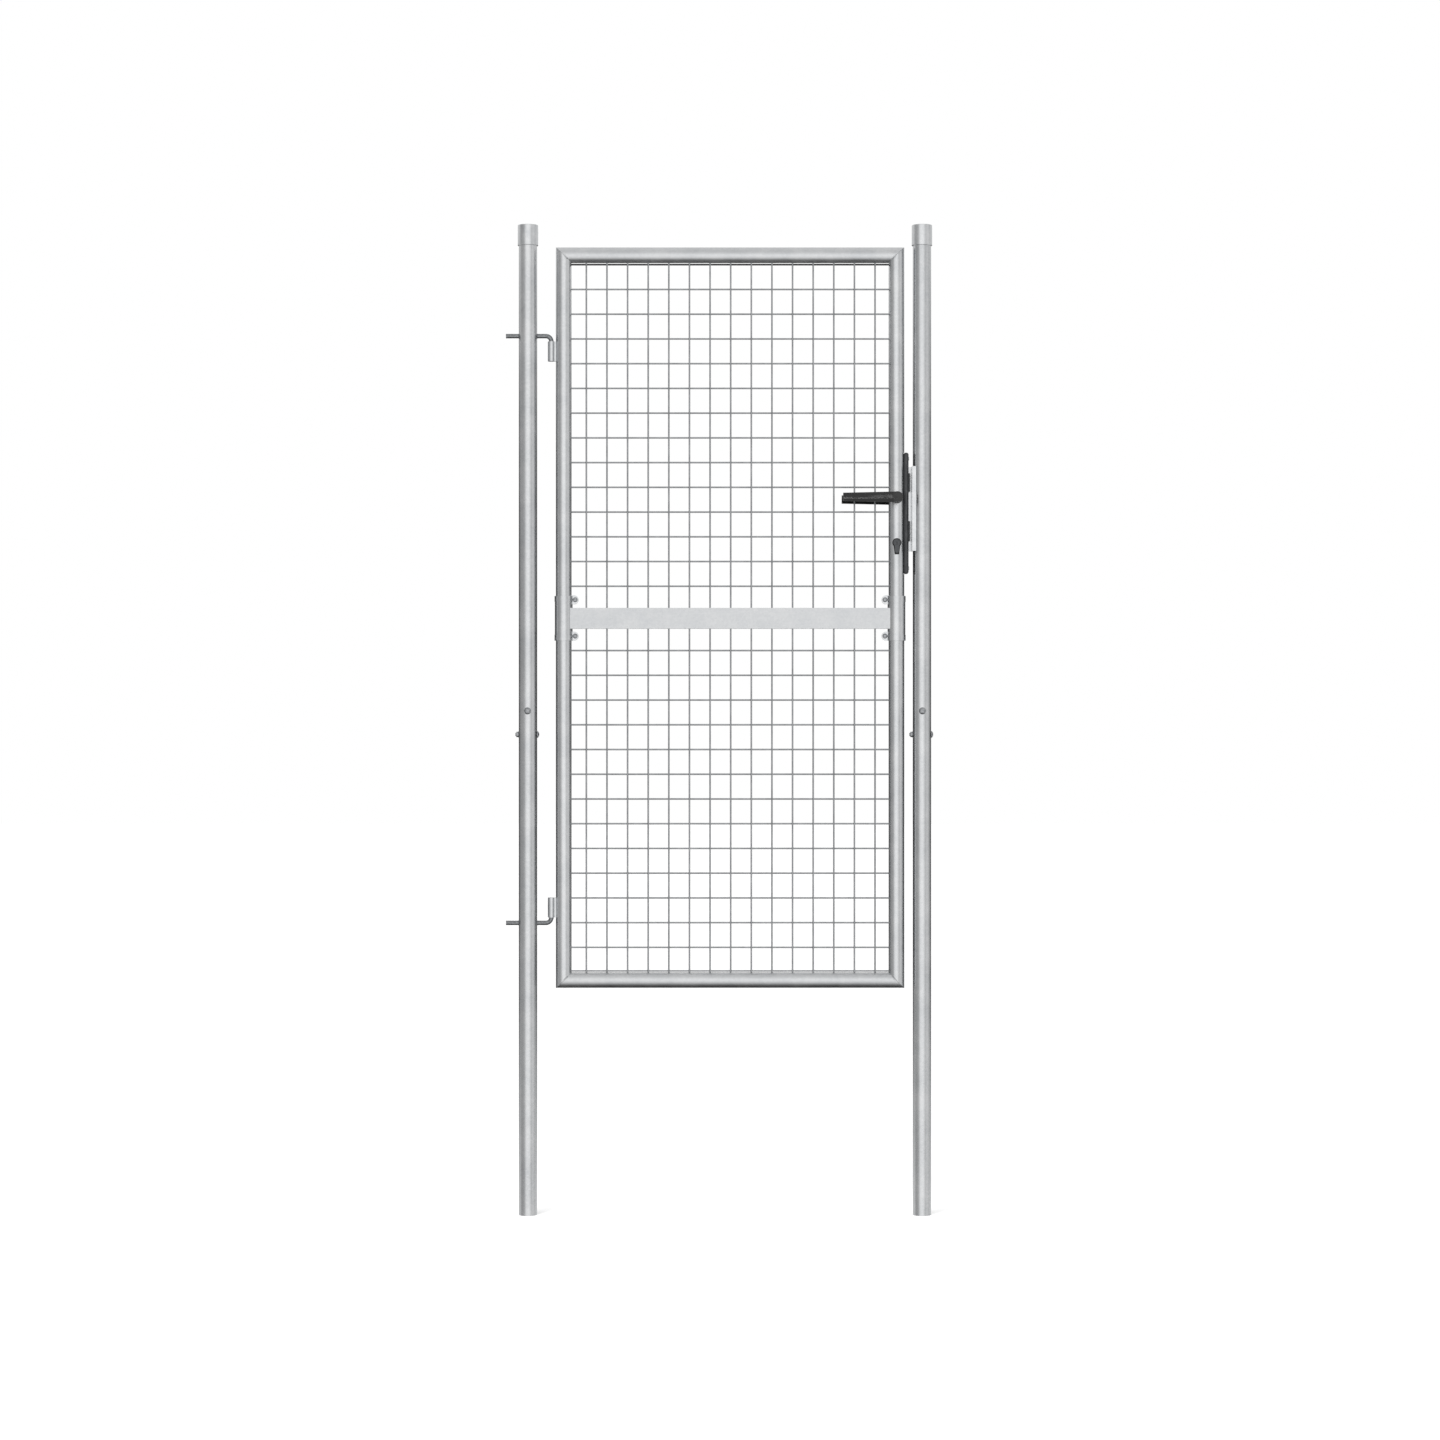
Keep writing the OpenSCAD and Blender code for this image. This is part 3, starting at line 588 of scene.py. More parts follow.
@dataclass
class Posts:
    """The two posts with their pressed caps, joints and crossed bolts."""

    frame: dict
    bolt: DomeBolt
    post_radius: float = 22.25 * MM
    front_bolt_z: float = 1.222
    side_bolt_z: float = 1.165
    cap_roll: float = 1.1 * MM

    def build(self) -> list[tuple[str, bpy.types.Object]]:
        """Builds both posts' crossed bolts.

        Returns:
            Pairs of the CAD node that a piece stands for and the piece.
        """
        made = []
        for side in ("hinge", "lock"):
            x = middle(f"{side}_post_lower").x
            node = f"{side}_post_bolts"
            front = self.bolt.build(
                f"{side}_front_bolt", Vector((x, -self.post_radius, self.front_bolt_z)), Vector((x, self.post_radius, self.front_bolt_z))
            )
            across = self.bolt.build(
                f"{side}_side_bolt", Vector((x + self.post_radius, 0, self.side_bolt_z)), Vector((x - self.post_radius, 0, self.side_bolt_z))
            )
            made.append((node, join(f"{side}_post_crossed_bolts", [front, across])))
        return made

    def cap_rims(self) -> list[bpy.types.Object]:
        """Builds the rolled lip at the mouth of each cap."""
        rims = []
        for side in ("hinge", "lock"):
            low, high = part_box(f"{side}_post_cap")
            centre = (low + high) / 2
            radius = (high.x - low.x) / 2
            rims.append(
                bead(f"{side}_cap_rolled_lip", (centre.x, centre.y, low.z + self.cap_roll), (0, 0, 1), radius - self.cap_roll * 0.9, self.cap_roll)
            )
        return rims

    def dress(self, zinc: bpy.types.Material, cap: bpy.types.Material, plated: bpy.types.Material) -> None:
        """Gives the posts, caps and bolts their finishes."""
        for side in ("hinge", "lock"):
            dress(self.frame, zinc, f"{side}_post_lower", f"{side}_post_upper", f"{side}_post_connector")
            dress(self.frame, cap, f"{side}_post_cap")
        for node, piece in self.build():
            show(piece, plated, Body.POSTS, "fastener_steel", node)
        for rim in self.cap_rims():
            show(rim, cap, Body.POSTS, "cap_steel")


@dataclass
class LeafFrame:
    """The welded tube frame of the leaf, with its mitre seams and the flat middle bar."""

    frame: dict
    tube_radius: float = 19.0 * MM
    seam: float = 0.55 * MM
    seam_sunk: float = 0.3 * MM

    def seams(self) -> bpy.types.Object:
        """Builds the four ground-down mitre welds."""
        pieces = []
        for rail, up in (("top_rail", 1), ("bottom_rail", -1)):
            z = middle(rail).z
            for stile, right in (("hinge_stile_upper", -1), ("lock_stile_upper", 1)):
                x = middle(stile).x
                normal = Vector((right, 0, -up)).normalized()
                pieces.append(
                    bead(f"seam_{rail}_{stile}", (x, 0, z), normal, self.tube_radius - self.seam_sunk, self.seam, math.sqrt(2))
                )
        return join("mitre_weld_seams", pieces)

    def bar_welds(self) -> bpy.types.Object:
        """Builds the thin upright weld at each end of the middle bar, front and back."""
        low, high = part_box("middle_bar")
        pieces = []
        for x, inwards in ((middle("hinge_stile_upper").x, 1), (middle("lock_stile_upper").x, -1)):
            face = x + inwards * (math.sqrt(self.tube_radius**2 - low.y**2) + 0.2 * MM)
            for y in (low.y + 0.2 * MM, high.y - 0.2 * MM):
                weld = bar(f"bar_weld_{x:.2f}_{y:.3f}", 1.1 * MM, (face, y, low.z + MM), (face, y, high.z - MM), 12)
                pieces.append(round_edges(weld, 0.4 * MM, 2))
        return join("middle_bar_welds", pieces)

    def dress(self, upright: bpy.types.Material, level: bpy.types.Material, flat: bpy.types.Material, weld: bpy.types.Material) -> None:
        """Gives the tubes, the bar and the seams their finishes."""
        dress(self.frame, level, "top_rail", "bottom_rail")
        dress(self.frame, flat, "middle_bar")
        dress(self.frame, upright, *[f"{side}_stile_{end}" for side in ("hinge", "lock") for end in ("upper", "lower")])
        show(self.seams(), level, Body.LEAF, "frame_steel")
        show(self.bar_welds(), weld, Body.LEAF, "frame_steel")


@dataclass
class MeshPanels:
    """The two panels of welded wire: uprights in front, level wires behind, fused at each crossing."""

    wire_radius: float = 2.0 * MM
    upright_y: float = -1.607 * MM
    level_y: float = 1.607 * MM
    first_upright: float = 55.0 * MM
    upright_pitch: float = 50.0 * MM
    upright_count: int = 15
    first_level: float = 78.0 * MM
    level_pitch: float = 60.0 * MM
    level_count: int = 13
    edge_gap: float = 3.5 * MM
    sides: int = 14

    def build(self, panel: str, up: int) -> bpy.types.Object:
        """Builds one panel.

        Args:
            panel: the CAD node's name.
            up: 1 for the panel above the middle bar, -1 for the one below.

        Returns:
            The panel's wires and weld spots as one object.
        """
        low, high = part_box(panel)
        bar_z = middle("middle_bar").z
        first_x = middle("hinge_stile_upper").x + self.first_upright
        columns = [first_x + k * self.upright_pitch for k in range(self.upright_count)]
        rows = [bar_z + up * (self.first_level + k * self.level_pitch) for k in range(self.level_count)]
        if up < 0:
            rows.append(low.z + self.edge_gap)
        # The wires run a little into the tubes, which are filled with weld there.
        upright = bar("upright_wire", self.wire_radius, (columns[0], self.upright_y, low.z), (columns[0], self.upright_y, high.z), self.sides)
        level = bar("level_wire", self.wire_radius, (low.x, self.level_y, rows[0]), (high.x, self.level_y, rows[0]), self.sides)
        spot = self.weld_spot(columns[0], rows[0])
        wires = [upright, level]
        wires += [copy_at(upright, (x - columns[0], 0, 0), "upright_wire") for x in columns[1:]]
        wires += [copy_at(level, (0, 0, z - rows[0]), "level_wire") for z in rows[1:]]
        row_of_spots = [spot] + [copy_at(spot, (x - columns[0], 0, 0), "weld_spot") for x in columns[1:]]
        line = join("weld_spot_row", row_of_spots)
        wires += [line] + [copy_at(line, (0, 0, z - rows[0]), "weld_spot_row") for z in rows[1:]]
        return join(panel + "_wires", wires)

    def top_edge(self) -> bpy.types.Object:
        """Builds the level wire close under the top rail, with a small bead at each upright."""
        low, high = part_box("upper_mesh_panel")
        z = high.z - self.edge_gap
        first_x = middle("hinge_stile_upper").x + self.first_upright
        wire = round_edges(bar("top_edge_wire", self.wire_radius, (low.x, self.level_y, z), (high.x, self.level_y, z), self.sides), 0.3 * MM, 1)
        spots = [self.weld_spot(first_x + k * self.upright_pitch, z) for k in range(self.upright_count)]
        return join("top_edge_wire", [wire, *spots])

    def weld_spot(self, x: float, z: float) -> bpy.types.Object:
        """Builds the small squeezed-out bead where two wires cross."""
        deselect()
        bpy.ops.mesh.primitive_uv_sphere_add(segments=10, ring_count=6, radius=self.wire_radius * 1.3, location=(x, 0, z))
        bpy.context.object.scale = (1.0, 0.62, 1.0)
        return place_new("weld_spot")

    def dress(self, zinc: bpy.types.Material, rail_shadow_finish: bpy.types.Material) -> None:
        """Gives both panels their finish, and the wire under the top rail a near-black one: painted shade for the
        rail's shadow over it.
        """
        show(self.top_edge(), rail_shadow_finish, Body.LEAF, "mesh_wire")
        for panel, up in (("upper_mesh_panel", 1), ("lower_mesh_panel", -1)):
            show(self.build(panel, up), zinc, Body.LEAF, "mesh_wire", panel)


@dataclass
class StileClamps:
    """The split clamp on each stile's joint, with raised end rings and two ear bolts each."""

    frame: dict
    ear_face: float = 4.0 * MM
    ear_bolt_x: float = 28.0 * MM
    ear_rows: tuple[float, float] = (1.4035, 1.4915)

    def build(self) -> list[tuple[str, bpy.types.Object]]:
        """Builds both pairs of ear bolts, dome in front and nut behind."""
        bolt = DomeBolt(6.0 * MM, 2.9 * MM, 2.5 * MM, 4.4 * MM, 3.2 * MM, 0.8 * MM, 0.8 * MM, 1.6 * MM)
        made = []
        for side, inwards in (("hinge", 1), ("lock", -1)):
            x = middle(f"{side}_clamp_bolts").x
            pair = [
                bolt.build(f"{side}_ear_bolt_{k}", Vector((x, -self.ear_face, z)), Vector((x, self.ear_face, z)))
                for k, z in enumerate(self.ear_rows)
            ]
            made.append((f"{side}_clamp_bolts", join(f"{side}_ear_bolts", pair)))
        return made

    def dress(self, zinc: bpy.types.Material, plated: bpy.types.Material) -> None:
        """Gives the clamps and their bolts their finishes."""
        dress(self.frame, zinc, "hinge_stile_clamp", "lock_stile_clamp")
        for node, piece in self.build():
            show(piece, plated, Body.LEAF, "fastener_steel", node)


@dataclass
class Hinges:
    """The bent hinge rods through the post and the sleeves welded to the stile."""

    frame: dict
    bead_radius: float = 1.5 * MM

    def welds(self) -> bpy.types.Object:
        """Builds the fillet weld on each side of each sleeve, where it meets the stile."""
        pieces = []
        stile = middle("hinge_stile_upper")
        stile_low, stile_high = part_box("hinge_stile_upper")
        stile_radius = (stile_high.x - stile_low.x) / 2
        for node in ("upper_hinge_sleeve", "lower_hinge_sleeve"):
            low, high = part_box(node)
            sleeve_radius = (high.y - low.y) / 2
            sleeve_x = low.x + sleeve_radius
            gap = stile.x - sleeve_x
            # The bead lies where both round faces are one bead's radius away.
            reach = stile_radius + self.bead_radius * 0.6
            near = sleeve_radius + self.bead_radius * 0.6
            along = (gap**2 + near**2 - reach**2) / (2 * gap)
            side = math.sqrt(max(near**2 - along**2, 0.0))
            for sign in (-1, 1):
                spot = (sleeve_x + along, sign * side)
                bead_bar = bar(f"{node}_weld{sign}", self.bead_radius, (*spot, low.z + 2 * MM), (*spot, high.z - 2 * MM), 16)
                pieces.append(round_edges(bead_bar, 1.0 * MM, 3))
        return join("hinge_sleeve_welds", pieces)

    def rod_ends(self) -> bpy.types.Object:
        """Builds the chamfered collar where each rod passes the post's two faces."""
        pieces = []
        for node in ("upper_hinge_bolt", "lower_hinge_bolt"):
            low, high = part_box(node)
            rod_radius = (high.y - low.y) / 2
            z = high.z - rod_radius if node.startswith("upper") else low.z + rod_radius
            post_low, post_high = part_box("hinge_post_upper")
            for x in (post_low.x, post_high.x):
                pieces.append(bead(f"{node}_collar_{x:.3f}", (x, 0, z), (1, 0, 0), rod_radius + 0.3 * MM, 0.6 * MM))
        return join("hinge_rod_fillets", pieces)

    def dress(self, rod: bpy.types.Material, sleeve: bpy.types.Material, weld: bpy.types.Material) -> None:
        """Gives the rods, sleeves and welds their finishes."""
        dress(self.frame, rod, "upper_hinge_bolt", "lower_hinge_bolt")
        dress(self.frame, sleeve, "upper_hinge_sleeve", "lower_hinge_sleeve")
        show(self.welds(), weld, Body.LEAF, "frame_steel")
        show(self.rod_ends(), rod, Body.POSTS, "fastener_steel")


@dataclass
class Lock:
    """The insert lock: case, rounded forend with its screws, bolts, roses, keyhole plates and cylinder."""

    frame: dict
    edge: float = 1.2 * MM
    end_round: float = 5.0 * MM
    screw_slot: float = 1.1 * MM
    stem_top: float = 8.6 * MM
    stem_taper: float = 0.62
    tube_radius: float = 19.0 * MM

    def forend(self) -> bpy.types.Object:
        """Builds the forend bar with rounded ends, softened edges and a window for each bolt."""
        low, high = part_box("lock_forend")
        piece = block("lock_forend_bar", low, high)
        pick(piece)
        for edge in piece.data.edges:
            ends = [piece.data.vertices[k].co for k in edge.vertices]
            edge.select = all(abs(end.x - high.x) < 0.01 * MM for end in ends) and abs(ends[0].z - ends[1].z) < 0.01 * MM
        bpy.ops.object.mode_set(mode="EDIT")
        bpy.ops.mesh.bevel(offset=self.end_round, segments=6, affect="EDGES")
        bpy.ops.object.mode_set(mode="OBJECT")
        round_edges(piece, self.edge, 4)
        for node in ("latch_bolt", "dead_bolt"):
            bolt_low, bolt_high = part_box(node)
            window = block("window", (high.x - 3 * MM, bolt_low.y - 0.3 * MM, bolt_low.z - 0.3 * MM), (high.x + MM, bolt_high.y + 0.3 * MM, bolt_high.z + 0.3 * MM))
            cut(piece, window)
        return piece

    def screws(self) -> bpy.types.Object:
        """Builds the two cross-slotted countersunk screws in the forend."""
        low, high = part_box("forend_screws")
        radius = (high.y - low.y) / 2
        pieces = []
        for z in (low.z + radius, high.z - radius):
            head = round_edges(bar("forend_screw", radius, (low.x - 0.5 * MM, 0, z), (high.x, 0, z), 36), 0.5 * MM, 3)
            half, deep = radius * 0.62, high.x - 0.8 * MM
            upright = block("slot", (deep, -self.screw_slot / 2, z - half), (high.x + MM, self.screw_slot / 2, z + half))
            level = block("slot", (deep, -half, z - self.screw_slot / 2), (high.x + MM, half, z + self.screw_slot / 2))
            pieces.append(cut(head, upright, level))
        return join("forend_cross_screws", pieces)

    def bolt_head(self, node: str) -> bpy.types.Object:
        """Builds a bolt with softened edges from its CAD box."""
        low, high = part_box(node)
        return round_edges(block(node + "_bar", low, high), 0.8 * MM, 3)

    def keyhole_plate(self) -> bpy.types.Object:
        """Builds the front keyhole plate: a round head whose sides run into a narrow stem, saddled on the stile."""
        low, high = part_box("front_escutcheon")
        x = (low.x + high.x) / 2
        head_radius = (high.x - low.x) / 2
        head_z = high.z - head_radius
        back, front = -self.tube_radius + 3.3 * MM, low.y
        head = bar("keyhole_plate", head_radius, (x, back, head_z), (x, front, head_z), 64)
        stem = block("stem", (x - self.stem_top, front, low.z), (x + self.stem_top, back, head_z - 2 * MM))
        for corner in stem.data.vertices:
            if corner.co.z < low.z + MM:
                corner.co.x = x + (corner.co.x - x) * self.stem_taper
        plate = unite(head, stem)
        cylinder_low, cylinder_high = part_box("lock_cylinder")
        core_radius = (cylinder_high.x - cylinder_low.x) / 2 + 0.3 * MM
        core_z = cylinder_high.z - core_radius + 0.3 * MM
        cut(plate, bar("core", core_radius, (x, back + MM, core_z), (x, front - MM, core_z), 48))
        return round_edges(plate, 0.7 * MM, 3)

    def cylinder(self) -> bpy.types.Object:
        """Builds the profile cylinder: a round barrel over a narrow body, with a turned plug and key slot at each end."""
        low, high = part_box("lock_cylinder")
        x = (low.x + high.x) / 2
        barrel_radius = (high.x - low.x) / 2
        z = high.z - barrel_radius
        foot_radius = 5.0 * MM
        barrel = bar("profile_cylinder", barrel_radius, (x, low.y, z), (x, high.y, z), 56)
        foot = bar("foot", foot_radius, (x, low.y, low.z + foot_radius), (x, high.y, low.z + foot_radius), 32)
        stem = block("stem", (x - foot_radius, low.y, low.z + foot_radius), (x + foot_radius, high.y, z))
        body = unite(barrel, foot, stem)
        for face, out in ((low.y, -1), (high.y, 1)):
            groove = bar("groove", 6.4 * MM, (x, face + out * MM, z), (x, face - out * 0.5 * MM, z), 40)
            plug = bar("plug", 5.8 * MM, (x, face + out * 2 * MM, z), (x, face - out * MM, z), 40)
            cut(body, cut(groove, plug))
            key_way = block("key_way", (x - 0.9 * MM, min(face + out * MM, face - out * 4 * MM), z - 4.2 * MM), (x + 0.9 * MM, max(face + out * MM, face - out * 4 * MM), z + 3.0 * MM))
            cut(body, key_way)
        return round_edges(body, 0.35 * MM, 2)

    def rose(self) -> bpy.types.Object:
        """Builds the front lever rose: a low disc with a stepped edge, on the stile's round face."""
        low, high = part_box("front_rose")
        x, z = (low.x + high.x) / 2, (low.z + high.z) / 2
        radius = (high.x - low.x) / 2
        disc = bar("lever_rose", radius, (x, high.y, z), (x, low.y + 1.6 * MM, z), 72)
        step = bar("step", radius - 2.6 * MM, (x, low.y + 2.2 * MM, z), (x, low.y, z), 72)
        rose = unite(disc, step)
        bore = bar("bore", 8.8 * MM, (x, high.y + MM, z), (x, low.y - MM, z), 48)
        return round_edges(cut(rose, bore), 0.8 * MM, 4)

    def dress(self, coat: bpy.types.Material, core: bpy.types.Material, plate: bpy.types.Material, gloss: bpy.types.Material, plated: bpy.types.Material) -> None:
        """Gives the lock's pieces their finishes."""
        dress(self.frame, coat, "lock_case")
        show(self.forend(), coat, Body.LEAF, "lock_steel", "lock_forend")
        show(self.screws(), plated, Body.LEAF, "lock_steel", "forend_screws")
        show(self.bolt_head("latch_bolt"), core, Body.LATCH, "lock_steel", "latch_bolt")
        show(self.bolt_head("dead_bolt"), core, Body.DEAD_BOLT, "lock_steel", "dead_bolt")
        front_plate, front_rose = self.keyhole_plate(), self.rose()
        rear_plate, rear_rose = turned_copy(front_plate, "rear_keyhole_plate"), turned_copy(front_rose, "rear_lever_rose")
        show(front_plate, plate, Body.LEAF, "black_plastic", "front_escutcheon")
        show(rear_plate, plate, Body.LEAF, "black_plastic", "rear_escutcheon")
        show(front_rose, gloss, Body.LEAF, "black_plastic", "front_rose")
        show(rear_rose, gloss, Body.LEAF, "black_plastic", "rear_rose")
        show(self.cylinder(), core, Body.LEAF, "lock_steel", "lock_cylinder")


@dataclass
class Levers:
    """The pair of black levers on one square spindle."""

    frame: dict
    hub_radius: float = 13.0 * MM
    tip_half: float = 10.0 * MM
    grip_t: float = 11.0 * MM
    neck_radius: float = 8.0 * MM
    soft: float = 1.1 * MM
    ridge_drop: float = 4.0 * MM
    shoulder_rise: float = 4.5 * MM
    face_back: float = 2.55 * MM
    shoulder_back: float = 7.5 * MM
    under_back: float = 3.0 * MM

    def build(self) -> bpy.types.Object:
        """Builds the front lever: a tapering grip with a low ridge along its face, a square-cut tip and a round hub."""
        low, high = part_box("front_lever")
        x, z = high.x - self.hub_radius, (low.z + high.z) / 2
        front, back = low.y, low.y + self.grip_t
        grip = block("front_lever_grip", (low.x, front, z - self.hub_radius), (x, back, z + self.hub_radius))
        taper = self.tip_half / self.hub_radius
        for corner in grip.data.vertices:
            if corner.co.x < low.x + MM:
                corner.co.z = z + (corner.co.z - z) * taper
        pick(grip)
        bpy.ops.object.mode_set(mode="EDIT")
        bpy.ops.mesh.select_all(action="SELECT")
        bpy.ops.mesh.bisect(plane_co=(x, front, z - self.ridge_drop), plane_no=(0, 0, 1))
        bpy.ops.mesh.select_all(action="SELECT")
        bpy.ops.mesh.bisect(plane_co=(x, front, z + self.shoulder_rise), plane_no=(0, 0, 1))
        bpy.ops.object.mode_set(mode="OBJECT")
        # The ridge stays foremost; the face leans back to the shoulder, the shoulder to the top, and the underside less.
        for corner in grip.data.vertices:
            height = corner.co.z - z
            if corner.co.y > front + 0.01 * MM or abs(height + self.ridge_drop) < MM:
                continue
            if height < 0:
                corner.co.y += self.under_back
            elif abs(height - self.shoulder_rise) < MM:
                corner.co.y += self.face_back
            else:
                corner.co.y += self.shoulder_back
        hub = bar("hub", self.hub_radius, (x, back, z), (x, front + 0.4 * MM, z), 72)
        lever = round_edges(unite(grip, hub), self.soft, 5, 11.0)
        neck = round_edges(bar("neck", self.neck_radius, (x, back - MM, z), (x, high.y, z), 48), 0.8 * MM, 3)
        ring = bead("hub_ring", (x, front + 0.55 * MM, z), (0, -1, 0), self.hub_radius - self.soft - 0.6 * MM, 0.5 * MM)
        return join("front_lever_grip", [lever, neck, ring])

    def spindle(self) -> bpy.types.Object:
        """Builds the square spindle with chamfered edges, standing on one corner."""
        low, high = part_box("handle_spindle")
        centre = (low + high) / 2
        return round_edges(
            bar("square_spindle", 5.66 * MM, (centre.x, low.y, centre.z), (centre.x, high.y, centre.z), 4), 0.5 * MM, 2
        )

    def dress(self, gloss: bpy.types.Material, plated: bpy.types.Material) -> tuple[bpy.types.Object, bpy.types.Object]:
        """Gives the levers and the spindle their finishes.

        Args:
            gloss: the levers' plastic.
            plated: the spindle's steel.

        Returns:
            The front and the rear lever.
        """
        front = self.build()
        rear = turned_copy(front, "rear_lever_grip")
        show(front, gloss, Body.HANDLE, "black_plastic", "front_lever")
        show(rear, gloss, Body.HANDLE, "black_plastic", "rear_lever")
        dress(self.frame, plated, "handle_spindle")
        return front, rear


@dataclass
class Keeper:
    """The folded strike plate on the lock post, with its welds."""

    frame: dict
    weld_radius: float = 1.6 * MM
    weld_length: float = 26.0 * MM

    def welds(self) -> bpy.types.Object:
        """Builds the three short welds that hold the keeper's lip to the post."""
        low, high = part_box("lock_keeper")
        post = middle("lock_post_upper")
        post_radius = 22.25 * MM
        y = low.y + 2.5 * MM + 0.4 * MM
        x = post.x - math.sqrt(post_radius**2 - y**2) - 0.3 * MM
        pieces = []
        for share in (0.12, 0.5, 0.88):
            z = low.z + (high.z - low.z) * share
            spot = bar(f"keeper_weld_{share}", self.weld_radius, (x, y, z - self.weld_length / 2), (x, y, z + self.weld_length / 2), 14)
            pieces.append(round_edges(spot, 1.0 * MM, 3))
        return join("keeper_welds", pieces)

    def dress(self, plate: bpy.types.Material, weld: bpy.types.Material) -> None:
        """Gives the keeper and its welds their finishes."""
        dress(self.frame, plate, "lock_keeper")
        show(self.welds(), weld, Body.POSTS, "cap_steel")


# ---------------------------------------------------------------- studio


@dataclass
class Studio:
    """A pale floor, a white surround, soft lamps and a camera square to the gate."""

    camera_place: tuple[float, float, float] = (0.4657, -8.0, 1.2)
    lens: float = 82.46
    tent_radius: float = 9.0
    white: float = 1.0
    room: float = 0.55
    sky_strength: float = 1.1

    def seen_directly(self, tree: bpy.types.NodeTree) -> Any:
        """Returns 1 for rays from the camera, a mirror or through glass, and 0 for soft light."""
        path = add_node(tree, "ShaderNodeLightPath")
        mirror = add_node(tree, "ShaderNodeMath", {"operation": "MAXIMUM"}, {0: path.outputs["Is Camera Ray"], 1: path.outputs["Is Glossy Ray"]})
        return add_node(tree, "ShaderNodeMath", {"operation": "MAXIMUM"}, {0: mirror.outputs[0], 1: path.outputs["Is Transmission Ray"]}).outputs[0]

    def surround(self) -> None:
        """Makes the world white to the eye and a plain soft light to the gate."""
        world = bpy.data.worlds.new("white_surround")
        bpy.context.scene.world = world
        world.use_nodes = True
        tree = world.node_tree
        tree.nodes.clear()
        strength = add_node(tree, "ShaderNodeMapRange", {"To Min": self.room, "To Max": self.white}, {"Value": self.seen_directly(tree)})
        light = add_node(tree, "ShaderNodeBackground", {"Color": linear("ffffff")}, {"Strength": strength.outputs["Result"]})
        add_node(tree, "ShaderNodeOutputWorld", links={"Surface": light.outputs["Background"]})

    def floor(self) -> None:
        """Lays the pale floor, which keeps the gate's shadow."""
        deselect()
        bpy.ops.mesh.primitive_plane_add(size=60, location=(0.478, 0, 0))
        piece = place_new("studio_floor")
        material = bpy.data.materials.new("pale_studio_floor")
        material.use_nodes = True
        tree = material.node_tree
        tree.nodes.clear()
        place = add_node(tree, "ShaderNodeTexCoord").outputs["Object"]
        grain = add_node(tree, "ShaderNodeTexNoise", {"Scale": 4.0}, {"Vector": place})
        colour = add_node(tree, "ShaderNodeValToRGB", {"stops": [(0.3, "ececec"), (0.7, "f0f0f0")]}, {"Fac": grain.outputs["Fac"]})
        paint = add_node(tree, "ShaderNodeBsdfDiffuse", links={"Color": colour.outputs["Color"]})
        lift = add_node(tree, "ShaderNodeMath", {"operation": "MULTIPLY", 1: 0.36}, {0: self.seen_directly(tree)})
        glow = add_node(tree, "ShaderNodeEmission", {"Color": linear("ffffff")}, {"Strength": lift.outputs[0]})
        both = add_node(tree, "ShaderNodeAddShader", links={0: paint.outputs["BSDF"], 1: glow.outputs["Emission"]})
        add_node(tree, "ShaderNodeOutputMaterial", links={"Surface": both.outputs["Shader"]})
        piece.data.materials.append(material)
        piece.visible_glossy = False

    def tent(self) -> None:
        """Hangs a round tent of grey and white cloth, seen only in mirrors, whose dark flags edge the round tubes."""
        deselect()
        bpy.ops.mesh.primitive_uv_sphere_add(segments=64, ring_count=32, radius=self.tent_radius, location=(0, 0, 0))
        piece = bpy.context.object
        piece.name = "studio_tent"
        bpy.ops.object.shade_smooth()
        piece.visible_camera = piece.visible_diffuse = piece.visible_shadow = piece.visible_transmission = False
        material = bpy.data.materials.new("tent_cloth_and_flags")
        material.use_nodes = True
        tree = material.node_tree
        tree.nodes.clear()
        place = add_node(tree, "ShaderNodeSeparateXYZ", links={0: add_node(tree, "ShaderNodeTexCoord").outputs["Object"]})
        towards = add_node(tree, "ShaderNodeMath", {"operation": "MULTIPLY", 1: -1.0}, {0: place.outputs["Y"]})
        # Round the gate: bright in front, grey at the left, a second white panel at the right, dark flags behind.
        around = add_node(tree, "ShaderNodeMath", {"operation": "ARCTAN2"}, {0: place.outputs["X"], 1: towards.outputs[0]})
        around_share = add_node(tree, "ShaderNodeMapRange", {"From Min": -math.pi, "From Max": math.pi}, {"Value": around.outputs[0]})
        ring = add_node(
            tree,
            "ShaderNodeValToRGB",
            {
                "stops": [
                    (0.0, "606060"), (0.05, "2c2c2c"), (0.12, "303030"), (0.19, "868686"), (0.25, "9c9c9c"), (0.33, "a2a2a2"), (0.39, "b4b4b4"),
                    (0.43, "ececec"), (0.47, "f8f8f8"), (0.53, "ffffff"), (0.58, "dedede"), (0.62, "c0c0c0"), (0.67, "d6d6d6"), (0.73, "cccccc"),
                    (0.80, "909090"), (0.88, "505050"), (0.95, "2c2c2c"), (1.0, "606060"),
                ]
            },
            {"Fac": around_share.outputs["Result"]},
        )
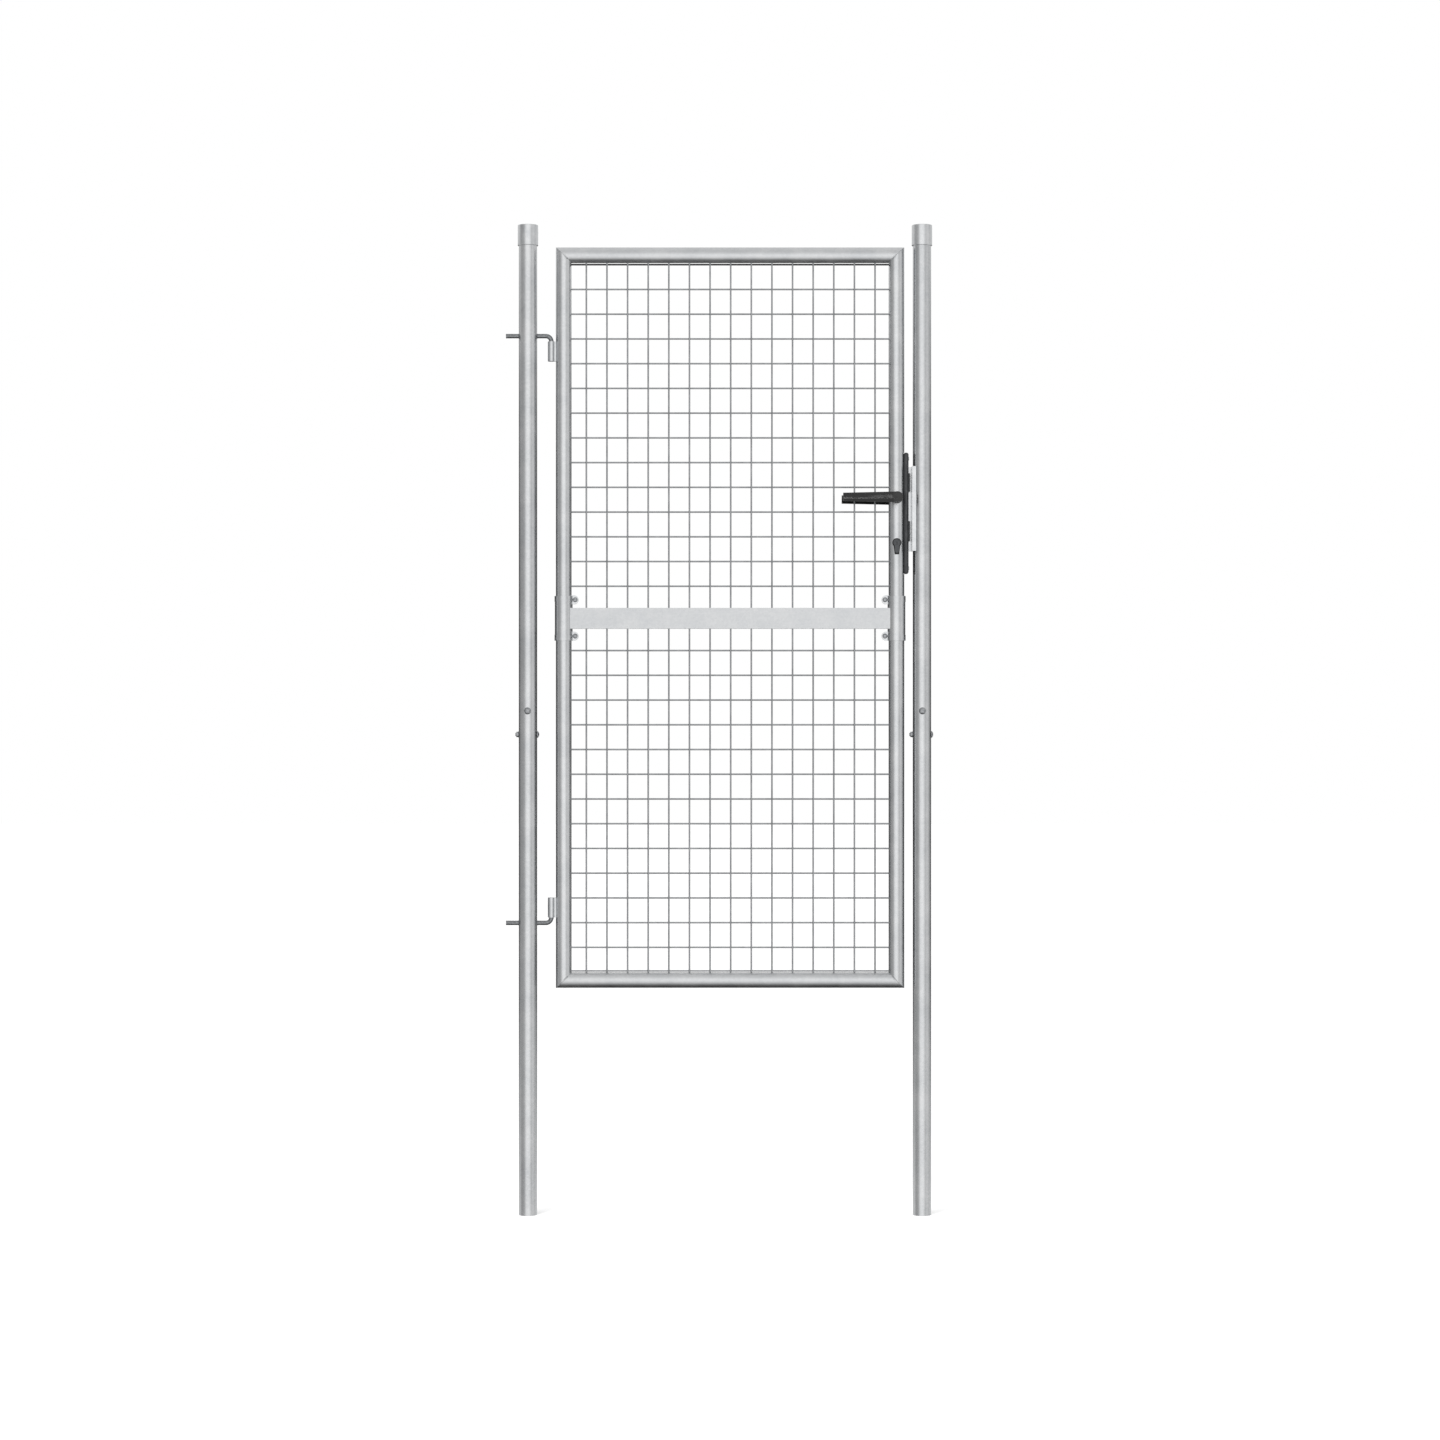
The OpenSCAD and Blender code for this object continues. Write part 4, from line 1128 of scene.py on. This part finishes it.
        # Over and under the gate: a pale ceiling, a bright front and a dark ground flag.
        over = add_node(tree, "ShaderNodeMath", {"operation": "ARCTAN2"}, {0: place.outputs["Z"], 1: towards.outputs[0]})
        over_share = add_node(tree, "ShaderNodeMapRange", {"From Min": -math.pi, "From Max": math.pi}, {"Value": over.outputs[0]})
        arch = add_node(
            tree,
            "ShaderNodeValToRGB",
            {
                "stops": [
                    (0.0, "0c0c0c"), (0.10, "101010"), (0.22, "303030"), (0.30, "606060"), (0.37, "bcbcbc"), (0.43, "ececec"), (0.53, "ffffff"),
                    (0.565, "e8e8e8"),
                    (0.60, "dadada"), (0.65, "cccccc"), (0.70, "cecece"), (0.80, "dadada"), (0.90, "b4b4b4"), (1.0, "a0a0a0"),
                ]
            },
            {"Fac": over_share.outputs["Result"]},
        )
        high = add_node(tree, "ShaderNodeMath", {"operation": "ABSOLUTE"}, {0: place.outputs["Z"]})
        wide = add_node(tree, "ShaderNodeMath", {"operation": "ABSOLUTE"}, {0: place.outputs["X"]})
        total = add_node(tree, "ShaderNodeMath", {"operation": "ADD"}, {0: high.outputs[0], 1: wide.outputs[0]})
        share = add_node(tree, "ShaderNodeMath", {"operation": "DIVIDE"}, {0: high.outputs[0], 1: total.outputs[0]})
        steep = add_node(tree, "ShaderNodeMapRange", {"From Min": 0.35, "From Max": 0.80}, {"Value": share.outputs[0]})
        blend = add_node(tree, "ShaderNodeMix", {"data_type": "RGBA"}, {0: steep.outputs["Result"], 6: ring.outputs["Color"], 7: arch.outputs["Color"]})
        # The flags behind are only about 3 m tall: over and under them hangs pale cloth, which lights the gate's back.
        above_flag = add_node(tree, "ShaderNodeMapRange", {"From Min": 1.5, "From Max": 2.5}, {"Value": high.outputs[0]})
        below_roof = add_node(tree, "ShaderNodeMapRange", {"From Min": 5.5, "From Max": 7.5, "To Min": 1.0, "To Max": 0.0}, {"Value": high.outputs[0]})
        behind = add_node(tree, "ShaderNodeMapRange", {"From Min": -1.0, "From Max": 3.0}, {"Value": place.outputs["Y"]})
        belt = add_node(tree, "ShaderNodeMath", {"operation": "MULTIPLY"}, {0: above_flag.outputs["Result"], 1: below_roof.outputs["Result"]})
        cloth = add_node(tree, "ShaderNodeMath", {"operation": "MULTIPLY"}, {0: belt.outputs[0], 1: behind.outputs["Result"]})
        hung = add_node(tree, "ShaderNodeMix", {"data_type": "RGBA", 7: linear("dedede")}, {0: cloth.outputs[0], 6: blend.outputs[2]})
        glow = add_node(tree, "ShaderNodeEmission", {"Strength": 1.3}, {"Color": hung.outputs[2]})
        add_node(tree, "ShaderNodeOutputMaterial", links={"Surface": glow.outputs["Emission"]})
        piece.data.materials.append(material)
        piece.location = (0.478, 0, 1.2)

    def lamp(self, name: str, place: tuple, size: tuple, power: float, mirrored: bool) -> bpy.types.Object:
        """Hangs one soft lamp that faces the gate's middle.

        Args:
            name: the lamp's name.
            place: where it hangs.
            size: its width and its height.
            power: its power in watts.
            mirrored: whether glossy pieces mirror it.

        Returns:
            The lamp.
        """
        light = bpy.data.lights.new(name, "AREA")
        light.shape, light.energy = "RECTANGLE", power
        light.size, light.size_y = size
        lamp = bpy.data.objects.new(name, light)
        bpy.context.scene.collection.objects.link(lamp)
        lamp.visible_glossy = mirrored
        lamp.location = place
        lamp.rotation_euler = (Vector((0.478, 0, 1.2)) - Vector(place)).to_track_quat("-Z", "Y").to_euler()
        return lamp

    def gloss_strip(self, *pieces: bpy.types.Object) -> None:
        """Hangs the narrow strip lamp that draws the highlight along the black pieces, and lights only them."""
        strip = self.lamp("gloss_strip", (-0.3, -3.4, 4.3), (2.6, 0.4), 55, True)
        lit = bpy.data.collections.new("glossy_black_pieces")
        for piece in pieces:
            lit.objects.link(piece)
        strip.light_linking.receiver_collection = lit

    def skylight(self) -> None:
        """Adds a wide, even light from high in front, which gives the floor its soft shadow."""
        light = bpy.data.lights.new("skylight", "SUN")
        light.energy, light.angle = self.sky_strength, math.radians(35)
        lamp = bpy.data.objects.new("skylight", light)
        bpy.context.scene.collection.objects.link(lamp)
        lamp.visible_glossy = False
        lamp.rotation_euler = Vector((0.35, 0.65, -1.0)).to_track_quat("-Z", "Y").to_euler()

    def camera(self) -> None:
        """Sets the camera level with the gate's middle, square to the leaf."""
        data = bpy.data.cameras.new("front_camera")
        data.lens, data.sensor_width = self.lens, 36.0
        camera = bpy.data.objects.new("front_camera", data)
        bpy.context.scene.collection.objects.link(camera)
        camera.location = self.camera_place
        camera.rotation_euler = (math.radians(90), 0, 0)
        bpy.context.scene.camera = camera

    def build(self) -> None:
        """Sets the whole studio."""
        bpy.context.scene.view_settings.view_transform = "Standard"
        self.camera()
        self.surround()
        self.floor()
        self.tent()
        self.skylight()
        self.lamp("key_lamp", (-1.4, -3.4, 4.4), (1.4, 1.4), 60, False)
        self.lamp("fill_lamp", (3.6, -3.2, 3.4), (2.2, 2.2), 35, False)


def main() -> None:
    """Loads the frame, builds each sub-assembly and sets the studio."""
    logging.basicConfig(level=logging.INFO, format="%(name)s: %(message)s")
    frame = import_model()
    studio = Studio()
    studio.build()
    upright_zinc = GalvanizedSteel("galvanized_steel_tube_upright", Along.Z).make()
    level_zinc = GalvanizedSteel("galvanized_steel_tube_level", Along.X, smoothest=0.30, roughest=0.40).make()
    flat_zinc = GalvanizedSteel("galvanized_steel_flat_bar", Along.X, smoothest=0.36, roughest=0.46).make()
    post_zinc = GalvanizedSteel("galvanized_steel_post", Along.Z, dark="bfc1c3", light="d6d7d8", cloud_mm=80.0).make()
    cap_zinc = GalvanizedSteel("zinc_plated_pressed_steel", Along.Z, dark="c6c8ca", light="dadbdc", cloud_mm=30.0, smoothest=0.20, roughest=0.28).make()
    wire_zinc = GalvanizedSteel("galvanized_drawn_wire", Along.Z, dark="8f9193", light="aeb0b2", cloud_mm=25.0, line_mm=0.8).make()
    weld = RawWeld("arc_weld_zinc_painted").make()
    # Near-black finish for the wire under the top rail: painted shade for the shadow that the rail casts on it.
    rail_shadow_finish = RawWeld("wire_painted_rail_shadow", dark="232425", light="3a3b3c").make()
    plated = PlatedFastener("zinc_plated_bolt_steel").make()
    rod = PlatedFastener("zinc_plated_hinge_rod", dark="6c6e70", light="8f9193").make()
    dull = PlatedFastener("zinc_plated_bolt_steel_weathered", dark="85878a", light="acaeb0").make()
    coat = CoatedLockSteel("coated_lock_steel_brushed").make()
    core = CoatedLockSteel("dark_nickel_plated_brass", Along.Y, dark="3a3b3d", light="56585a", rub="7c7e80").make()
    gloss = MouldedPlastic("moulded_abs_gloss_black", dark="050505", light="0b0b0c", skin=0.0).make()
    satin = MouldedPlastic("moulded_abs_satin_black", dark="131314", light="1d1d1e", smoothest=0.26, roughest=0.36, mirror=0.3).make()
    bolt = DomeBolt(8.6 * MM, 5.0 * MM, 4.0 * MM, 6.8 * MM, 4.6 * MM, 1.4 * MM, 1.25 * MM, 2.2 * MM)
    Posts(frame, bolt).dress(post_zinc, cap_zinc, dull)
    LeafFrame(frame).dress(upright_zinc, level_zinc, flat_zinc, weld)
    MeshPanels().dress(wire_zinc, rail_shadow_finish)
    StileClamps(frame).dress(upright_zinc, dull)
    Hinges(frame).dress(rod, upright_zinc, weld)
    Lock(frame).dress(coat, core, satin, gloss, plated)
    studio.gloss_strip(*Levers(frame).dress(gloss, plated))
    Keeper(frame).dress(cap_zinc, weld)


if __name__ == "__main__":
    main()
